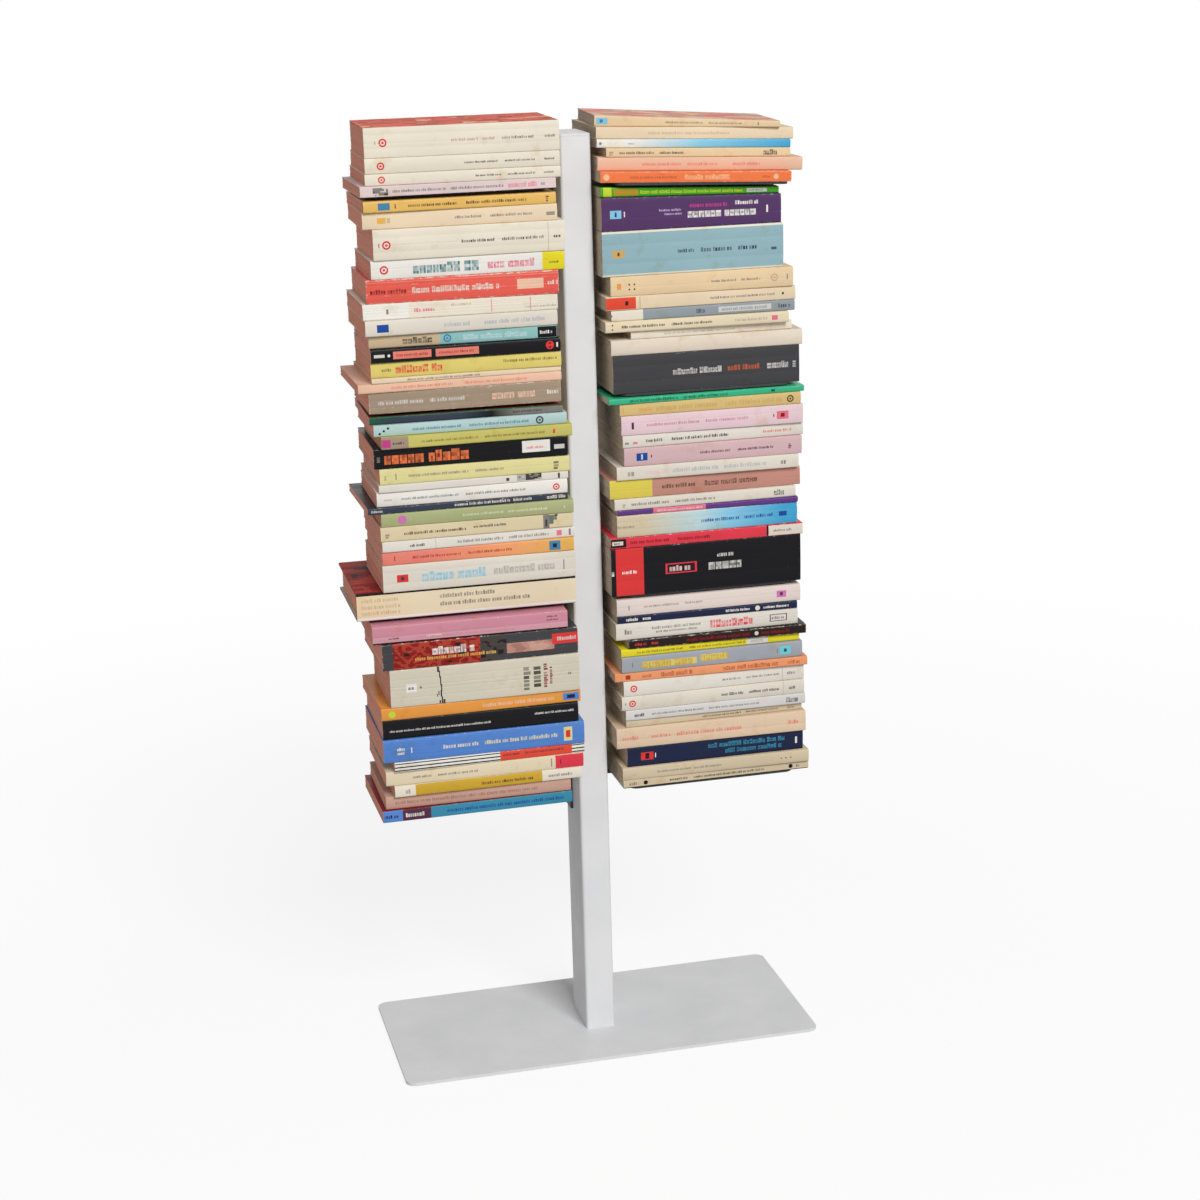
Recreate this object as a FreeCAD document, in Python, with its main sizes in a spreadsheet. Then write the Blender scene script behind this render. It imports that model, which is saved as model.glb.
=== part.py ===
import FreeCAD, Part
import math
import os
import Sketcher
from FreeCAD import Placement, Rotation, Vector

# Spine bookshelf.
# A steel box-section column stands on a thin steel foot plate and carries four pairs of
# narrow cantilever shelves.  Paperbacks lie flat on the shelves, spines to the front, so
# that the two stacks hide the steel and seem to float on either side of the column.
#
# Frame: millimetres, +Z up, X to the right, the front faces -Y.  The origin is on the
# floor, under the middle of the column.
#
# Levels count upwards from the lowest pair of shelves.  "Left" is the -X side.

LEVELS = (1, 2, 3, 4)
TOP_LEVEL = LEVELS[-1]
SCREW_ROWS = (0, 1)
SIDES = {"left": -1, "right": 1}

# ---------------------------------------------------------------------------------------
# Driving dimensions, in millimetres
# ---------------------------------------------------------------------------------------

SIZES = {
    # floor pads, rubber
    "pad_thickness": 1,
    "pad_radius": 12,
    "pad_inset": 22,
    "centre_pad_radius": 30,
    # foot plate, 3 mm steel
    "base_width": 430,
    "base_depth": 195,
    "base_thickness": 3,
    "base_corner_radius": 10,
    # column, 60 x 30 mm box section
    "column_width": 30,
    "column_depth": 60,
    "column_wall": 2,
    "column_inner_radius": 1,
    "column_head": 46,
    # cap that closes the column
    "cap_thickness": 2,
    "plug_height": 10,
    "slip_clearance": 0.2,
    # block inside the foot of the column
    "foot_block_height": 24,
    "foot_screw_spacing_x": 14,
    "foot_screw_spacing_y": 40,
    "foot_hole_depth": 11,
    "back_screw_spacing": 12,
    "back_screw_rise": 18,
    "back_hole_depth": 12,
    # shelves, cut and folded from 2.5 mm sheet
    "first_level": 269,
    "level_pitch": 200,
    "shelf_reach": 189,
    "shelf_depth": 102,
    "shelf_thickness": 2.5,
    "shelf_corner_radius": 8,
    "neck_length": 18,
    "neck_width": 24,
    "neck_setback": 14,
    "flange_height": 36,
    "bend_inner_radius": 1.5,
    # how many degrees each shelf hangs down under its books
    "left_1_sag": 0,
    "left_2_sag": 0,
    "left_3_sag": 0,
    "left_4_sag": 0,
    "right_1_sag": 0,
    "right_2_sag": 0,
    "right_3_sag": 0,
    "right_4_sag": 2.4,
    # screws and the threaded sleeves that they share, inside the column
    "shelf_screw_drop": 12,
    "shelf_screw_spacing": 16,
    "sleeve_radius": 4,
    "thread_clearance": 0.05,
    "hole_clearance": 0.25,
    "seat_clearance": 0.05,
    "m4_radius": 2,
    "m4_head_radius": 4,
    "m4_length": 12,
    "m4_socket": 2.5,
    "m5_radius": 2.5,
    "m5_head_radius": 5,
    "m5_length": 12,
    "m5_socket": 3,
    "socket_depth": 1.2,
    # room round the books
    "book_side_clearance": 0.8,
    "book_headroom": 0.8,
    # how far each stack's line of spines stands in front of the column
    "left_1_spines": 43,
    "left_2_spines": 33,
    "left_3_spines": 33,
    "left_4_spines": 33,
    "right_1_spines": 24,
    "right_2_spines": 24,
    "right_3_spines": 20,
    "right_4_spines": 8,
}

# The books of each stack, from the shelf upwards.  Each has its thickness, the length of
# its spine, the width of its cover, how much further it lies from the column than it
# needs to, how far its spine stands out from the line of its stack, and how many degrees
# its far end is turned to the front.
BOOK_MEASURES = ("thickness", "length", "width", "aside", "ahead", "turn")
BOOKS = {
    "left_1": (
        (11.5, 189, 112, 14, 0, 0.6),
        (13, 184, 110, 14, -1, -0.4),
        (11, 186, 108, 4, 1, 0.3),
        (14.5, 196, 118, 0.5, 0, -0.5),
        (10, 189, 115, 0, -1, 0.8),
        (23, 199, 118, 0, 1, 0),
        (19.5, 193, 115, 4, 0, -0.6),
        (12.5, 197, 118, 2, -2, 0.5),
        (37.5, 186, 112, 2.5, 1, -0.3),
        (26, 192, 115, 3, -2, 0.4),
        (18, 190, 112, 11.5, 0, -0.8),
    ),
    "left_2": (
        (27, 214, 128, 0, -2, -0.5),
        (26.5, 188, 112, 1, 0, 0),
        (13, 186, 110, 1, 1, -0.7),
        (10.5, 187, 110, 1, -1, 0.4),
        (14, 186, 112, 3, 0, 0),
        (13, 186, 108, 0.5, 1, -0.6),
        (6.5, 194, 115, 6, -3, 0.8),
        (14, 184, 108, 6, 0, -0.4),
        (7.5, 183, 110, 5.5, -1, 0.5),
        (15, 183, 108, 4, 0, 0),
        (19.5, 186, 112, 4, 1, -0.8),
        (11.5, 183, 108, 1, 2, 0.6),
        (11, 185, 110, 4.5, 0, -0.4),
        (7.5, 185, 108, 6.5, -2, -1),
    ),
    "left_3": (
        (20, 183, 108, 9, 0, -0.6),
        (8.5, 194, 114, 9, -1, 0.4),
        (5, 181, 108, 9, -2, 0.9),
        (14.5, 181, 108, 8, 0, -0.5),
        (13, 180, 108, 9.5, 1, 0),
        (12, 178, 106, 11, 0, -0.8),
        (14.5, 182, 108, 11.5, 1, 0.5),
        (15, 184, 110, 10, 0, -0.3),
        (22, 181, 108, 7.5, 1, -0.9),
        (17.5, 182, 108, 2, -1, -0.4),
        (28.5, 180, 108, 2, 1, 0),
        (15.5, 182, 108, 6.5, 0, -1),
        (10.5, 180, 106, 9, -1, 0.4),
    ),
    "left_4": (
        (10, 183, 108, 8.5, -1, 0.6),
        (10.5, 182, 108, 2.5, 0, -0.8),
        (14, 181, 108, 2, 0, -1.2),
        (27.5, 181, 108, 1, 0, -1.6),
    ),
    "right_1": (
        (8.5, 195, 115, 6, 0, -0.4),
        (13, 195, 114, 6, 1, 0.5),
        (20.5, 184, 110, 12, -1, 0),
        (21, 197, 116, 1, 0, 0.7),
        (7.5, 184, 108, 10.5, -2, -0.6),
        (11, 187, 110, 11, 0, 0.3),
        (14.5, 190, 112, 7, 1, 0),
        (15.5, 188, 112, 8.5, 0, -0.5),
        (9, 199, 116, 1, -1, 0.9),
        (16.5, 187, 110, 8, 1, 0),
        (8, 185, 108, 6.5, 0, -0.7),
        (9.5, 183, 110, 15.5, 1, 0.6),
        (17, 188, 112, 2.5, 0, -0.3),
        (7.5, 185, 108, 5, -1, 0.5),
        (17, 189, 112, 4.5, 0, 0),
    ),
    "right_2": (
        (47.5, 194, 116, 0, 0, 0),
        (11.5, 196, 115, 0, -1, 0.6),
        (21.5, 184, 110, 6, 1, -0.4),
        (5.5, 183, 108, 8, -1, 0.8),
        (11, 184, 108, 5, 0, 0),
        (18.5, 194, 114, 0, -2, -0.5),
        (13.5, 184, 110, 8, 0, 0.4),
        (18, 180, 108, 15.5, 1, 0),
        (12.5, 183, 108, 13.5, 0, -0.7),
        (19, 183, 110, 13.5, 1, 0.3),
        (12, 182, 108, 12.5, 0, 0.5),
        (6, 197, 115, 0, 2, -0.8),
    ),
    "right_3": (
        (36.5, 187, 112, 7, 2, -0.3),
        (15, 191, 114, 6.5, 0, 0.5),
        (8, 162, 108, 25, -1, -0.8),
        (10.5, 182, 108, 1, 2, 0.9),
        (10.5, 183, 108, 7.5, 0, 0),
        (13, 189, 112, 1.5, 1, -0.5),
        (19, 181, 108, 7.5, 0, 0.4),
        (42.5, 179, 108, 0, 1, 0),
        (32, 177, 106, 0, 0, -0.4),
        (9.5, 176, 106, 0, -4, -0.4),
    ),
    "right_4": (
        (10, 187, 110, 0, 13, 0.5),
        (12.5, 201, 116, 0, 1, 1),
        (8.5, 182, 108, 6.5, 2, -0.8),
        (8, 190, 112, 0, -3, 0.7),
        (11, 193, 112, 0, -7, 1.4),
        (10.5, 179, 108, 0, -14, 5),
    ),
}

# How much thinner some books are at the end away from the column.
TAPERS = {
    "right_3_book_09_taper": 4.4,
    "right_3_book_10_taper": 3,
    "right_4_book_06_taper": 4.5,
}

doc = FreeCAD.newDocument("SpineBookshelf")
sheet = doc.addObject("Spreadsheet::Sheet", "Sizes")
nodes = []


def fill_sheet(values):
    """Write each value as a plain number, under its own alias."""
    for row, (alias, value) in enumerate(values.items(), 1):
        sheet.set(f"A{row}", alias)
        sheet.set(f"B{row}", str(value))
        sheet.setAlias(f"B{row}", alias)


def book_sizes():
    """One named size for each measure of each book."""
    sizes = {}
    for stack, rows in BOOKS.items():
        for number, row in enumerate(rows, 1):
            for measure, value in zip(BOOK_MEASURES, row):
                sizes[f"{stack}_book_{number:02d}_{measure}"] = value
    return sizes


fill_sheet({**SIZES, **book_sizes(), **TAPERS})
doc.recompute()


# ---------------------------------------------------------------------------------------
# Helpers
# ---------------------------------------------------------------------------------------

def size(alias):
    """A driving dimension, as a number."""
    return float(sheet.get(alias))


def bind(thing, **expressions):
    """Tie properties of an object to the sheet; "Base_x" means Placement.Base.x."""
    for name, expression in expressions.items():
        path = name.replace("Base_", "Placement.Base.")
        thing.setExpression(path, expression)


def add(kind, name, **expressions):
    """A new document object whose sizes are bound to the sheet."""
    thing = doc.addObject(kind, name)
    bind(thing, **expressions)
    return thing


def keep(thing, label):
    """Name an object as a sub-part that is written to a file of its own."""
    thing.Label = label
    nodes.append(thing)
    return thing


def group(name, shapes):
    """Several shapes as one, for use as a cutting tool or as a set of solids."""
    compound = doc.addObject("Part::Compound", name)
    compound.Links = shapes
    return compound


def cut(name, base, tools):
    """A boolean cut of several tools from one base."""
    result = doc.addObject("Part::Cut", name)
    result.Base = base
    result.Tool = group(f"{name}_tools", tools)
    return result


def turn_about_y(thing, angle):
    """Turn an object by an angle from the sheet; a positive angle lowers its +X side."""
    thing.Placement = Placement(thing.Placement.Base, Rotation(Vector(0, 1, 0), 1))
    thing.setExpression("Placement.Rotation.Angle", angle)


def origin_plane(body, role):
    """One of the three origin planes of a body."""
    return next(plane for plane in body.Origin.OriginFeatures if plane.Role == role)


def closed_outline(sketch, points):
    """Straight lines through the points and back, each end joined to the next start."""
    count = len(points)
    for index in range(count):
        start = Vector(*points[index], 0)
        end = Vector(*points[(index + 1) % count], 0)
        sketch.addGeometry(Part.LineSegment(start, end))
        direction = "Horizontal" if start.y == end.y else "Vertical"
        sketch.addConstraint(Sketcher.Constraint(direction, index))
    for index in range(count):
        sketch.addConstraint(Sketcher.Constraint("Coincident", index, 2, (index + 1) % count, 1))


def dimension(sketch, kind, line, name, expression):
    """A named length of one line of a sketch, bound to the sheet."""
    first = sketch.Geometry[line].StartPoint
    last = sketch.Geometry[line].EndPoint
    length = abs(last.x - first.x) if kind == "DistanceX" else abs(last.y - first.y)
    ends = (1, 2) if (last - first).x + (last - first).y > 0 else (2, 1)
    index = sketch.addConstraint(Sketcher.Constraint(kind, line, ends[0], line, ends[1], length))
    sketch.renameConstraint(index, name)
    sketch.setExpression(f"Constraints.{name}", expression)


def fillet(body, base, name, wanted, radius):
    """Round the edges of the feature that pass the test."""
    doc.recompute()
    edges = [f"Edge{i}" for i, edge in enumerate(base.Shape.Edges, 1) if wanted(edge)]
    rounded = body.newObject("PartDesign::Fillet", name)
    rounded.Base = (base, edges)
    bind(rounded, Radius=radius)
    return rounded


def is_upright(edge):
    """Whether an edge runs along Z."""
    first, last = edge.Vertexes[0].Point, edge.Vertexes[-1].Point
    return abs(last.z - first.z) > 0.5 * edge.Length


def rounded_block(name, width, depth, height, radius, bottom, centre="0"):
    """A block centred on the XZ plane, with its upright edges rounded."""
    body = doc.addObject("PartDesign::Body", name)
    sketch = body.newObject("Sketcher::SketchObject", f"{name}_outline")
    sketch.AttachmentSupport = [(origin_plane(body, "XY_Plane"), "")]
    sketch.MapMode = "FlatFace"
    closed_outline(sketch, [(-50, -50), (50, -50), (50, 50), (-50, 50)])
    sketch.addConstraint(Sketcher.Constraint("Symmetric", 0, 1, 2, 1, -1, 1))
    dimension(sketch, "DistanceX", 0, "width", width)
    dimension(sketch, "DistanceY", 1, "depth", depth)
    pad = body.newObject("PartDesign::Pad", f"{name}_pad")
    pad.Profile = sketch
    bind(pad, Length=height)
    fillet(body, pad, f"{name}_corners", is_upright, radius)
    bind(body, Base_x=centre, Base_z=bottom)
    return body


def countersunk_screw(name, thread, turn, x, y, z):
    """A socket screw: the head's face is at the given point, the shank points inwards."""
    head = add("Part::Cone", f"{name}_head",
               Radius1=f"Sizes.{thread}_radius",
               Radius2=f"Sizes.{thread}_head_radius",
               Height=f"Sizes.{thread}_head_radius - Sizes.{thread}_radius",
               Base_z=f"Sizes.{thread}_radius - Sizes.{thread}_head_radius")
    shank = add("Part::Cylinder", f"{name}_shank",
                Radius=f"Sizes.{thread}_radius",
                Height=f"Sizes.{thread}_length",
                Base_z=f"-Sizes.{thread}_length")
    solid = doc.addObject("Part::Fuse", f"{name}_solid")
    solid.Base = head
    solid.Tool = shank
    socket = add("Part::Prism", f"{name}_socket",
                 Circumradius=f"Sizes.{thread}_socket / sqrt(3)",
                 Height="Sizes.socket_depth",
                 Base_z="-Sizes.socket_depth")
    socket.Polygon = 6
    screw = cut(name, solid, [socket])
    screw.Placement = Placement(Vector(), turn)
    bind(screw, Base_x=x, Base_y=y, Base_z=z)
    return keep(screw, name)


def drilled_hole(name, radius, depth, turn, x, y, z):
    """A cylinder to cut with; it runs from the given point along the turned Z axis."""
    hole = add("Part::Cylinder", name, Radius=radius, Height=depth)
    hole.Placement = Placement(Vector(), turn)
    bind(hole, Base_x=x, Base_y=y, Base_z=z)
    return hole


def countersink(name, thread, turn, x, y, z):
    """A cone to cut with; its wide end is at the given point."""
    wide = f"Sizes.{thread}_head_radius + Sizes.seat_clearance"
    narrow = f"Sizes.{thread}_radius + Sizes.seat_clearance"
    cone = add("Part::Cone", name,
               Radius1=wide, Radius2=narrow,
               Height=f"Sizes.{thread}_head_radius - Sizes.{thread}_radius")
    cone.Placement = Placement(Vector(), turn)
    bind(cone, Base_x=x, Base_y=y, Base_z=z)
    return cone


UPWARDS = Rotation()
DOWNWARDS = Rotation(Vector(1, 0, 0), 180)
TO_THE_RIGHT = Rotation(Vector(0, 1, 0), 90)
TO_THE_LEFT = Rotation(Vector(0, 1, 0), -90)
TO_THE_FRONT = Rotation(Vector(1, 0, 0), 90)
TO_THE_BACK = Rotation(Vector(1, 0, 0), -90)

BASE_TOP = "(Sizes.pad_thickness + Sizes.base_thickness)"
COLUMN_FRONT = "(-Sizes.column_depth / 2)"
NECK_END = "(Sizes.neck_length + 2 * Sizes.shelf_corner_radius)"
CORNERS = ((-1, -1), (1, -1), (1, 1), (-1, 1))


def level_top(level):
    """The height of the upper face of the shelves of one level."""
    return f"({BASE_TOP} + Sizes.first_level + {level - 1} * Sizes.level_pitch)"


LID_BOTTOM = f"({level_top(TOP_LEVEL)} + Sizes.column_head - Sizes.cap_thickness)"


# ---------------------------------------------------------------------------------------
# Foot: pads, foot plate and its screws
# ---------------------------------------------------------------------------------------

def foot_screw_place(corner):
    """Where one screw goes through the foot plate."""
    side, end = corner
    return f"{side} * Sizes.foot_screw_spacing_x / 2", f"{end} * Sizes.foot_screw_spacing_y / 2"


def build_pads():
    """One rubber pad near each corner, and one under the column over the screws."""
    for number, (side, end) in enumerate(CORNERS, 1):
        pad = add("Part::Cylinder", f"floor_pad_{number}",
                  Radius="Sizes.pad_radius",
                  Height="Sizes.pad_thickness",
                  Base_x=f"{side} * (Sizes.base_width / 2 - Sizes.pad_inset)",
                  Base_y=f"{end} * (Sizes.base_depth / 2 - Sizes.pad_inset)")
        keep(pad, f"floor_pad_{number}")
    centre = add("Part::Cylinder", "floor_pad_centre",
                 Radius="Sizes.centre_pad_radius", Height="Sizes.pad_thickness")
    keep(centre, "floor_pad_centre")


def build_base():
    """The foot plate, with countersunk holes on its underside."""
    plate = rounded_block("base_blank", "Sizes.base_width", "Sizes.base_depth",
                          "Sizes.base_thickness", "Sizes.base_corner_radius",
                          "Sizes.pad_thickness")
    tools = []
    for number, corner in enumerate(CORNERS, 1):
        x, y = foot_screw_place(corner)
        tools.append(drilled_hole(f"base_hole_{number}", "Sizes.m5_radius + Sizes.hole_clearance",
                                  "Sizes.base_thickness", UPWARDS, x, y, "Sizes.pad_thickness"))
        tools.append(countersink(f"base_sink_{number}", "m5", UPWARDS, x, y,
                                 "Sizes.pad_thickness"))
    keep(cut("base_plate_cut", plate, tools), "base_plate")


def build_foot_block():
    """A steel block inside the column's foot, tapped from below and from behind."""
    block = rounded_block("foot_blank",
                          "Sizes.column_width - 2 * (Sizes.column_wall + Sizes.slip_clearance)",
                          "Sizes.column_depth - 2 * (Sizes.column_wall + Sizes.slip_clearance)",
                          "Sizes.foot_block_height", "Sizes.column_inner_radius", BASE_TOP)
    tools = []
    for number, corner in enumerate(CORNERS, 1):
        x, y = foot_screw_place(corner)
        tools.append(drilled_hole(f"foot_tap_{number}", "Sizes.m5_radius + Sizes.thread_clearance",
                                  "Sizes.foot_hole_depth", UPWARDS, x, y, BASE_TOP))
    for side in (-1, 1):
        tools.append(drilled_hole(f"foot_back_tap_{side + 2}",
                                  "Sizes.m4_radius + Sizes.thread_clearance",
                                  "Sizes.back_hole_depth", TO_THE_FRONT, *back_screw_place(side)))
    keep(cut("foot_block_cut", block, tools), "foot_block")


def back_screw_place(side):
    """Where one screw goes through the back of the column, on its outer face."""
    return (f"{side} * Sizes.back_screw_spacing / 2", "Sizes.column_depth / 2",
            f"{BASE_TOP} + Sizes.back_screw_rise")


def build_foot_screws():
    """Four screws up through the foot plate, two through the back of the column."""
    for number, corner in enumerate(CORNERS, 1):
        countersunk_screw(f"base_screw_{number}", "m5", DOWNWARDS, *foot_screw_place(corner),
                          "Sizes.pad_thickness")
    for number, side in enumerate((-1, 1), 1):
        countersunk_screw(f"back_screw_{number}", "m4", TO_THE_BACK, *back_screw_place(side))


# ---------------------------------------------------------------------------------------
# Column, its cap and the sleeves inside it
# ---------------------------------------------------------------------------------------

def screw_drop(row):
    """How far below the shelf the upper or the lower screw is; row is 0 or 1."""
    return f"(Sizes.shelf_screw_drop + {row} * Sizes.shelf_screw_spacing)"


def shelf_screw_place(level, row):
    """Where the axis of one pair of shelf screws lies, in Y and Z."""
    return "Sizes.neck_setback", f"{level_top(level)} - {screw_drop(row)}"


def build_column():
    """The box section, drilled for the shelf screws and for the screws at the back."""
    tube_height = f"{LID_BOTTOM} - {BASE_TOP}"
    outside = rounded_block("column_outside", "Sizes.column_width", "Sizes.column_depth",
                            tube_height, "Sizes.column_inner_radius + Sizes.column_wall", BASE_TOP)
    inside = rounded_block("column_inside",
                           "Sizes.column_width - 2 * Sizes.column_wall",
                           "Sizes.column_depth - 2 * Sizes.column_wall",
                           tube_height, "Sizes.column_inner_radius", BASE_TOP)
    tools = [inside]
    for level in LEVELS:
        for row in SCREW_ROWS:
            y, z = shelf_screw_place(level, row)
            tools.append(drilled_hole(f"column_hole_{level}_{row + 1}",
                                      "Sizes.m4_radius + Sizes.hole_clearance",
                                      "Sizes.column_width", TO_THE_RIGHT,
                                      "-Sizes.column_width / 2", y, z))
    for side in (-1, 1):
        place = back_screw_place(side)
        tools.append(drilled_hole(f"column_back_hole_{side + 2}",
                                  "Sizes.m4_radius + Sizes.hole_clearance",
                                  "Sizes.column_wall", TO_THE_FRONT, *place))
        tools.append(countersink(f"column_back_sink_{side + 2}", "m4", TO_THE_FRONT, *place))
    keep(cut("column_cut", outside, tools), "column")


def build_cap():
    """A flat cap flush with the column, with a plug that fits inside it."""
    lid = rounded_block("cap_lid", "Sizes.column_width", "Sizes.column_depth",
                        "Sizes.cap_thickness", "Sizes.column_inner_radius + Sizes.column_wall",
                        LID_BOTTOM)
    plug = rounded_block("cap_plug",
                         "Sizes.column_width - 2 * (Sizes.column_wall + Sizes.slip_clearance)",
                         "Sizes.column_depth - 2 * (Sizes.column_wall + Sizes.slip_clearance)",
                         "Sizes.plug_height", "Sizes.column_inner_radius",
                         f"{LID_BOTTOM} - Sizes.plug_height")
    cap = doc.addObject("Part::Fuse", "cap_fuse")
    cap.Base = lid
    cap.Tool = plug
    keep(cap, "column_cap")


def build_sleeves():
    """Threaded sleeves across the inside of the column, two at each level."""
    for level in LEVELS:
        for row in SCREW_ROWS:
            name = f"sleeve_{level}_{row + 1}"
            y, z = shelf_screw_place(level, row)
            length = "Sizes.column_width - 2 * Sizes.column_wall"
            x = "Sizes.column_wall - Sizes.column_width / 2"
            bar = drilled_hole(f"{name}_bar", "Sizes.sleeve_radius", length, TO_THE_RIGHT, x, y, z)
            bore = drilled_hole(f"{name}_bore", "Sizes.m4_radius + Sizes.thread_clearance",
                                length, TO_THE_RIGHT, x, y, z)
            keep(cut(f"{name}_cut", bar, [bore]), name)


# ---------------------------------------------------------------------------------------
# Shelves and their screws
# ---------------------------------------------------------------------------------------

def shelf_neck(name, setback):
    """The folded neck: it runs out to the shelf and hangs down the side of the column."""
    body = doc.addObject("PartDesign::Body", name)
    sketch = body.newObject("Sketcher::SketchObject", f"{name}_profile")
    sketch.AttachmentSupport = [(origin_plane(body, "XZ_Plane"), "")]
    sketch.MapMode = "FlatFace"
    closed_outline(sketch, [(0, 0), (0, -30), (3, -30), (3, -3), (40, -3), (40, 0)])
    sketch.addConstraint(Sketcher.Constraint("Coincident", 0, 1, -1, 1))
    dimension(sketch, "DistanceY", 0, "flange", "Sizes.flange_height")
    dimension(sketch, "DistanceX", 1, "flange_sheet", "Sizes.shelf_thickness")
    dimension(sketch, "DistanceY", 4, "shelf_sheet", "Sizes.shelf_thickness")
    dimension(sketch, "DistanceX", 5, "length", NECK_END)
    pad = body.newObject("PartDesign::Pad", f"{name}_pad")
    pad.Profile = sketch
    pad.SideType = "Symmetric"
    bind(pad, Length="Sizes.neck_width")

    def along_y_at(x, z):
        """A test for the edge that runs along Y at the given place."""
        def wanted(edge):
            ends = (edge.Vertexes[0].Point, edge.Vertexes[-1].Point)
            return all(abs(end.x - x) < 0.001 and abs(end.z - z) < 0.001 for end in ends)
        return wanted

    sheet_thickness = size("shelf_thickness")
    outer = fillet(body, pad, f"{name}_outer_bend", along_y_at(0, 0),
                   "Sizes.bend_inner_radius + Sizes.shelf_thickness")
    fillet(body, outer, f"{name}_inner_bend", along_y_at(sheet_thickness, -sheet_thickness),
           "Sizes.bend_inner_radius")
    bind(body, Base_y=setback)
    return body


def build_shelf(side, level):
    """One shelf: a flat tray on a folded neck, drilled for two screws.

    A shelf that sags is bent downwards where its neck ends, under the tray.
    """
    name = f"shelf_{side}_{level}"
    outwards = SIDES[side]
    setback = f"{outwards} * Sizes.neck_setback"
    tray_length = "(Sizes.shelf_reach - Sizes.neck_length)"
    sag = f"Sizes.{side}_{level}_sag * 1deg"
    middle = f"(Sizes.neck_length + {tray_length} / 2 - {NECK_END})"
    tray = rounded_block(f"{name}_tray", tray_length, "Sizes.shelf_depth", "Sizes.shelf_thickness",
                         "Sizes.shelf_corner_radius",
                         f"-{middle} * sin({sag}) - Sizes.shelf_thickness * cos({sag})",
                         f"{NECK_END} + {middle} * cos({sag}) - Sizes.shelf_thickness * sin({sag})")
    turn_about_y(tray, sag)
    blank = doc.addObject("Part::Fuse", f"{name}_blank")
    blank.Base = tray
    blank.Tool = shelf_neck(f"{name}_neck", setback)
    blank.Refine = True
    tools = []
    for row in SCREW_ROWS:
        place = ("Sizes.shelf_thickness", setback, f"-{screw_drop(row)}")
        tools.append(drilled_hole(f"{name}_hole_{row + 1}",
                                  "Sizes.m4_radius + Sizes.hole_clearance",
                                  "Sizes.shelf_thickness", TO_THE_LEFT, *place))
        tools.append(countersink(f"{name}_sink_{row + 1}", "m4", TO_THE_LEFT, *place))
    shelf = cut(f"{name}_cut", blank, tools)
    shelf.Placement = Placement(Vector(), Rotation(Vector(0, 0, 1), 0 if outwards > 0 else 180))
    bind(shelf, Base_x=f"{outwards} * Sizes.column_width / 2", Base_z=level_top(level))
    keep(shelf, name)


def build_shelf_screws(side, level):
    """Two countersunk screws through the flange and the column into the sleeves."""
    outwards = SIDES[side]
    turn = TO_THE_RIGHT if outwards > 0 else TO_THE_LEFT
    x = f"{outwards} * (Sizes.column_width / 2 + Sizes.shelf_thickness)"
    for row in SCREW_ROWS:
        y, z = shelf_screw_place(level, row)
        countersunk_screw(f"shelf_screw_{side}_{level}_{row + 1}", "m4", turn, x, y, z)


# ---------------------------------------------------------------------------------------
# Books
# ---------------------------------------------------------------------------------------

def sag_slope(side, level):
    """How steeply a shelf hangs down, as a number."""
    return math.tan(math.radians(size(f"{side}_{level}_sag")))


def books_that_fit(side, level):
    """How many books of a stack go under the next shelf; the top level has none above."""
    stack = f"{side}_{level}"
    count = len(BOOKS[stack])
    if level == TOP_LEVEL:
        return count
    bend = size("neck_length") + 2 * size("shelf_corner_radius")
    beyond = size("shelf_reach") - bend
    room = size("level_pitch") - size("shelf_thickness") - size("book_headroom")
    near_room = room - bend * sag_slope(side, level)
    far_room = room + beyond * (sag_slope(side, level) - sag_slope(side, level + 1))
    near, far = 0.0, 0.0
    for number in range(1, count + 1):
        name = f"{stack}_book_{number:02d}"
        near += size(f"{name}_thickness")
        far += size(f"{name}_thickness") - (size(f"{name}_taper") if is_tapered(name) else 0)
        if near > near_room or far > far_room:
            return number - 1
    return count


def is_tapered(name):
    """Whether a book is thinner at one end."""
    return f"{name}_taper" in TAPERS


def from_column(name):
    """How much further the near end of a book's spine lies from the column than it must."""
    swing = f"Sizes.{name}_width * sin(max(0; -Sizes.{name}_turn) * 1deg)"
    return f"(Sizes.{name}_aside + {swing})"


def build_book(name, side, spine_line, level, under):
    """One closed book on top of another, or on its shelf where there is none under it.

    The book is turned about the end of its spine that is nearest the column.
    """
    outwards = SIDES[side]
    if under:
        slope = f"({under.Name}.Zmax - {under.Name}.Z2max) / {under.Name}.Ymax"
        shift = f"({from_column(name)} - {from_column(under.Name)})"
        bottom = f"{under.Name}.Zmax - {slope} * {shift} * 1mm"
        far_bottom = f"{bottom} - {slope} * Sizes.{name}_length * 1mm"
    else:
        bottom = far_bottom = f"{level_top(level)} * 1mm"
    taper = f"Sizes.{name}_taper" if is_tapered(name) else "0"
    back, front = ("-Sizes.{}_width", "0") if side == "right" else ("0", "Sizes.{}_width")
    book = add("Part::Wedge", name,
               Xmin=back.format(name), Xmax=front.format(name),
               X2min=back.format(name), X2max=front.format(name),
               Ymin="0", Ymax=f"Sizes.{name}_length",
               Zmin=bottom, Zmax=f"{bottom} + Sizes.{name}_thickness * 1mm",
               Z2min=far_bottom,
               Z2max=f"{far_bottom} + (Sizes.{name}_thickness - {taper}) * 1mm")
    book.Placement = Placement(Vector(), Rotation(Vector(0, 0, 1), 90))
    book.setExpression("Placement.Rotation.Angle",
                       f"{-outwards} * (90 + Sizes.{name}_turn) * 1deg")
    near_end = ("Sizes.column_width / 2 + Sizes.shelf_thickness + Sizes.book_side_clearance"
                f" + {from_column(name)}")
    bind(book, Base_x=f"{outwards} * ({near_end})", Base_y=spine_line)
    return book


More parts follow.
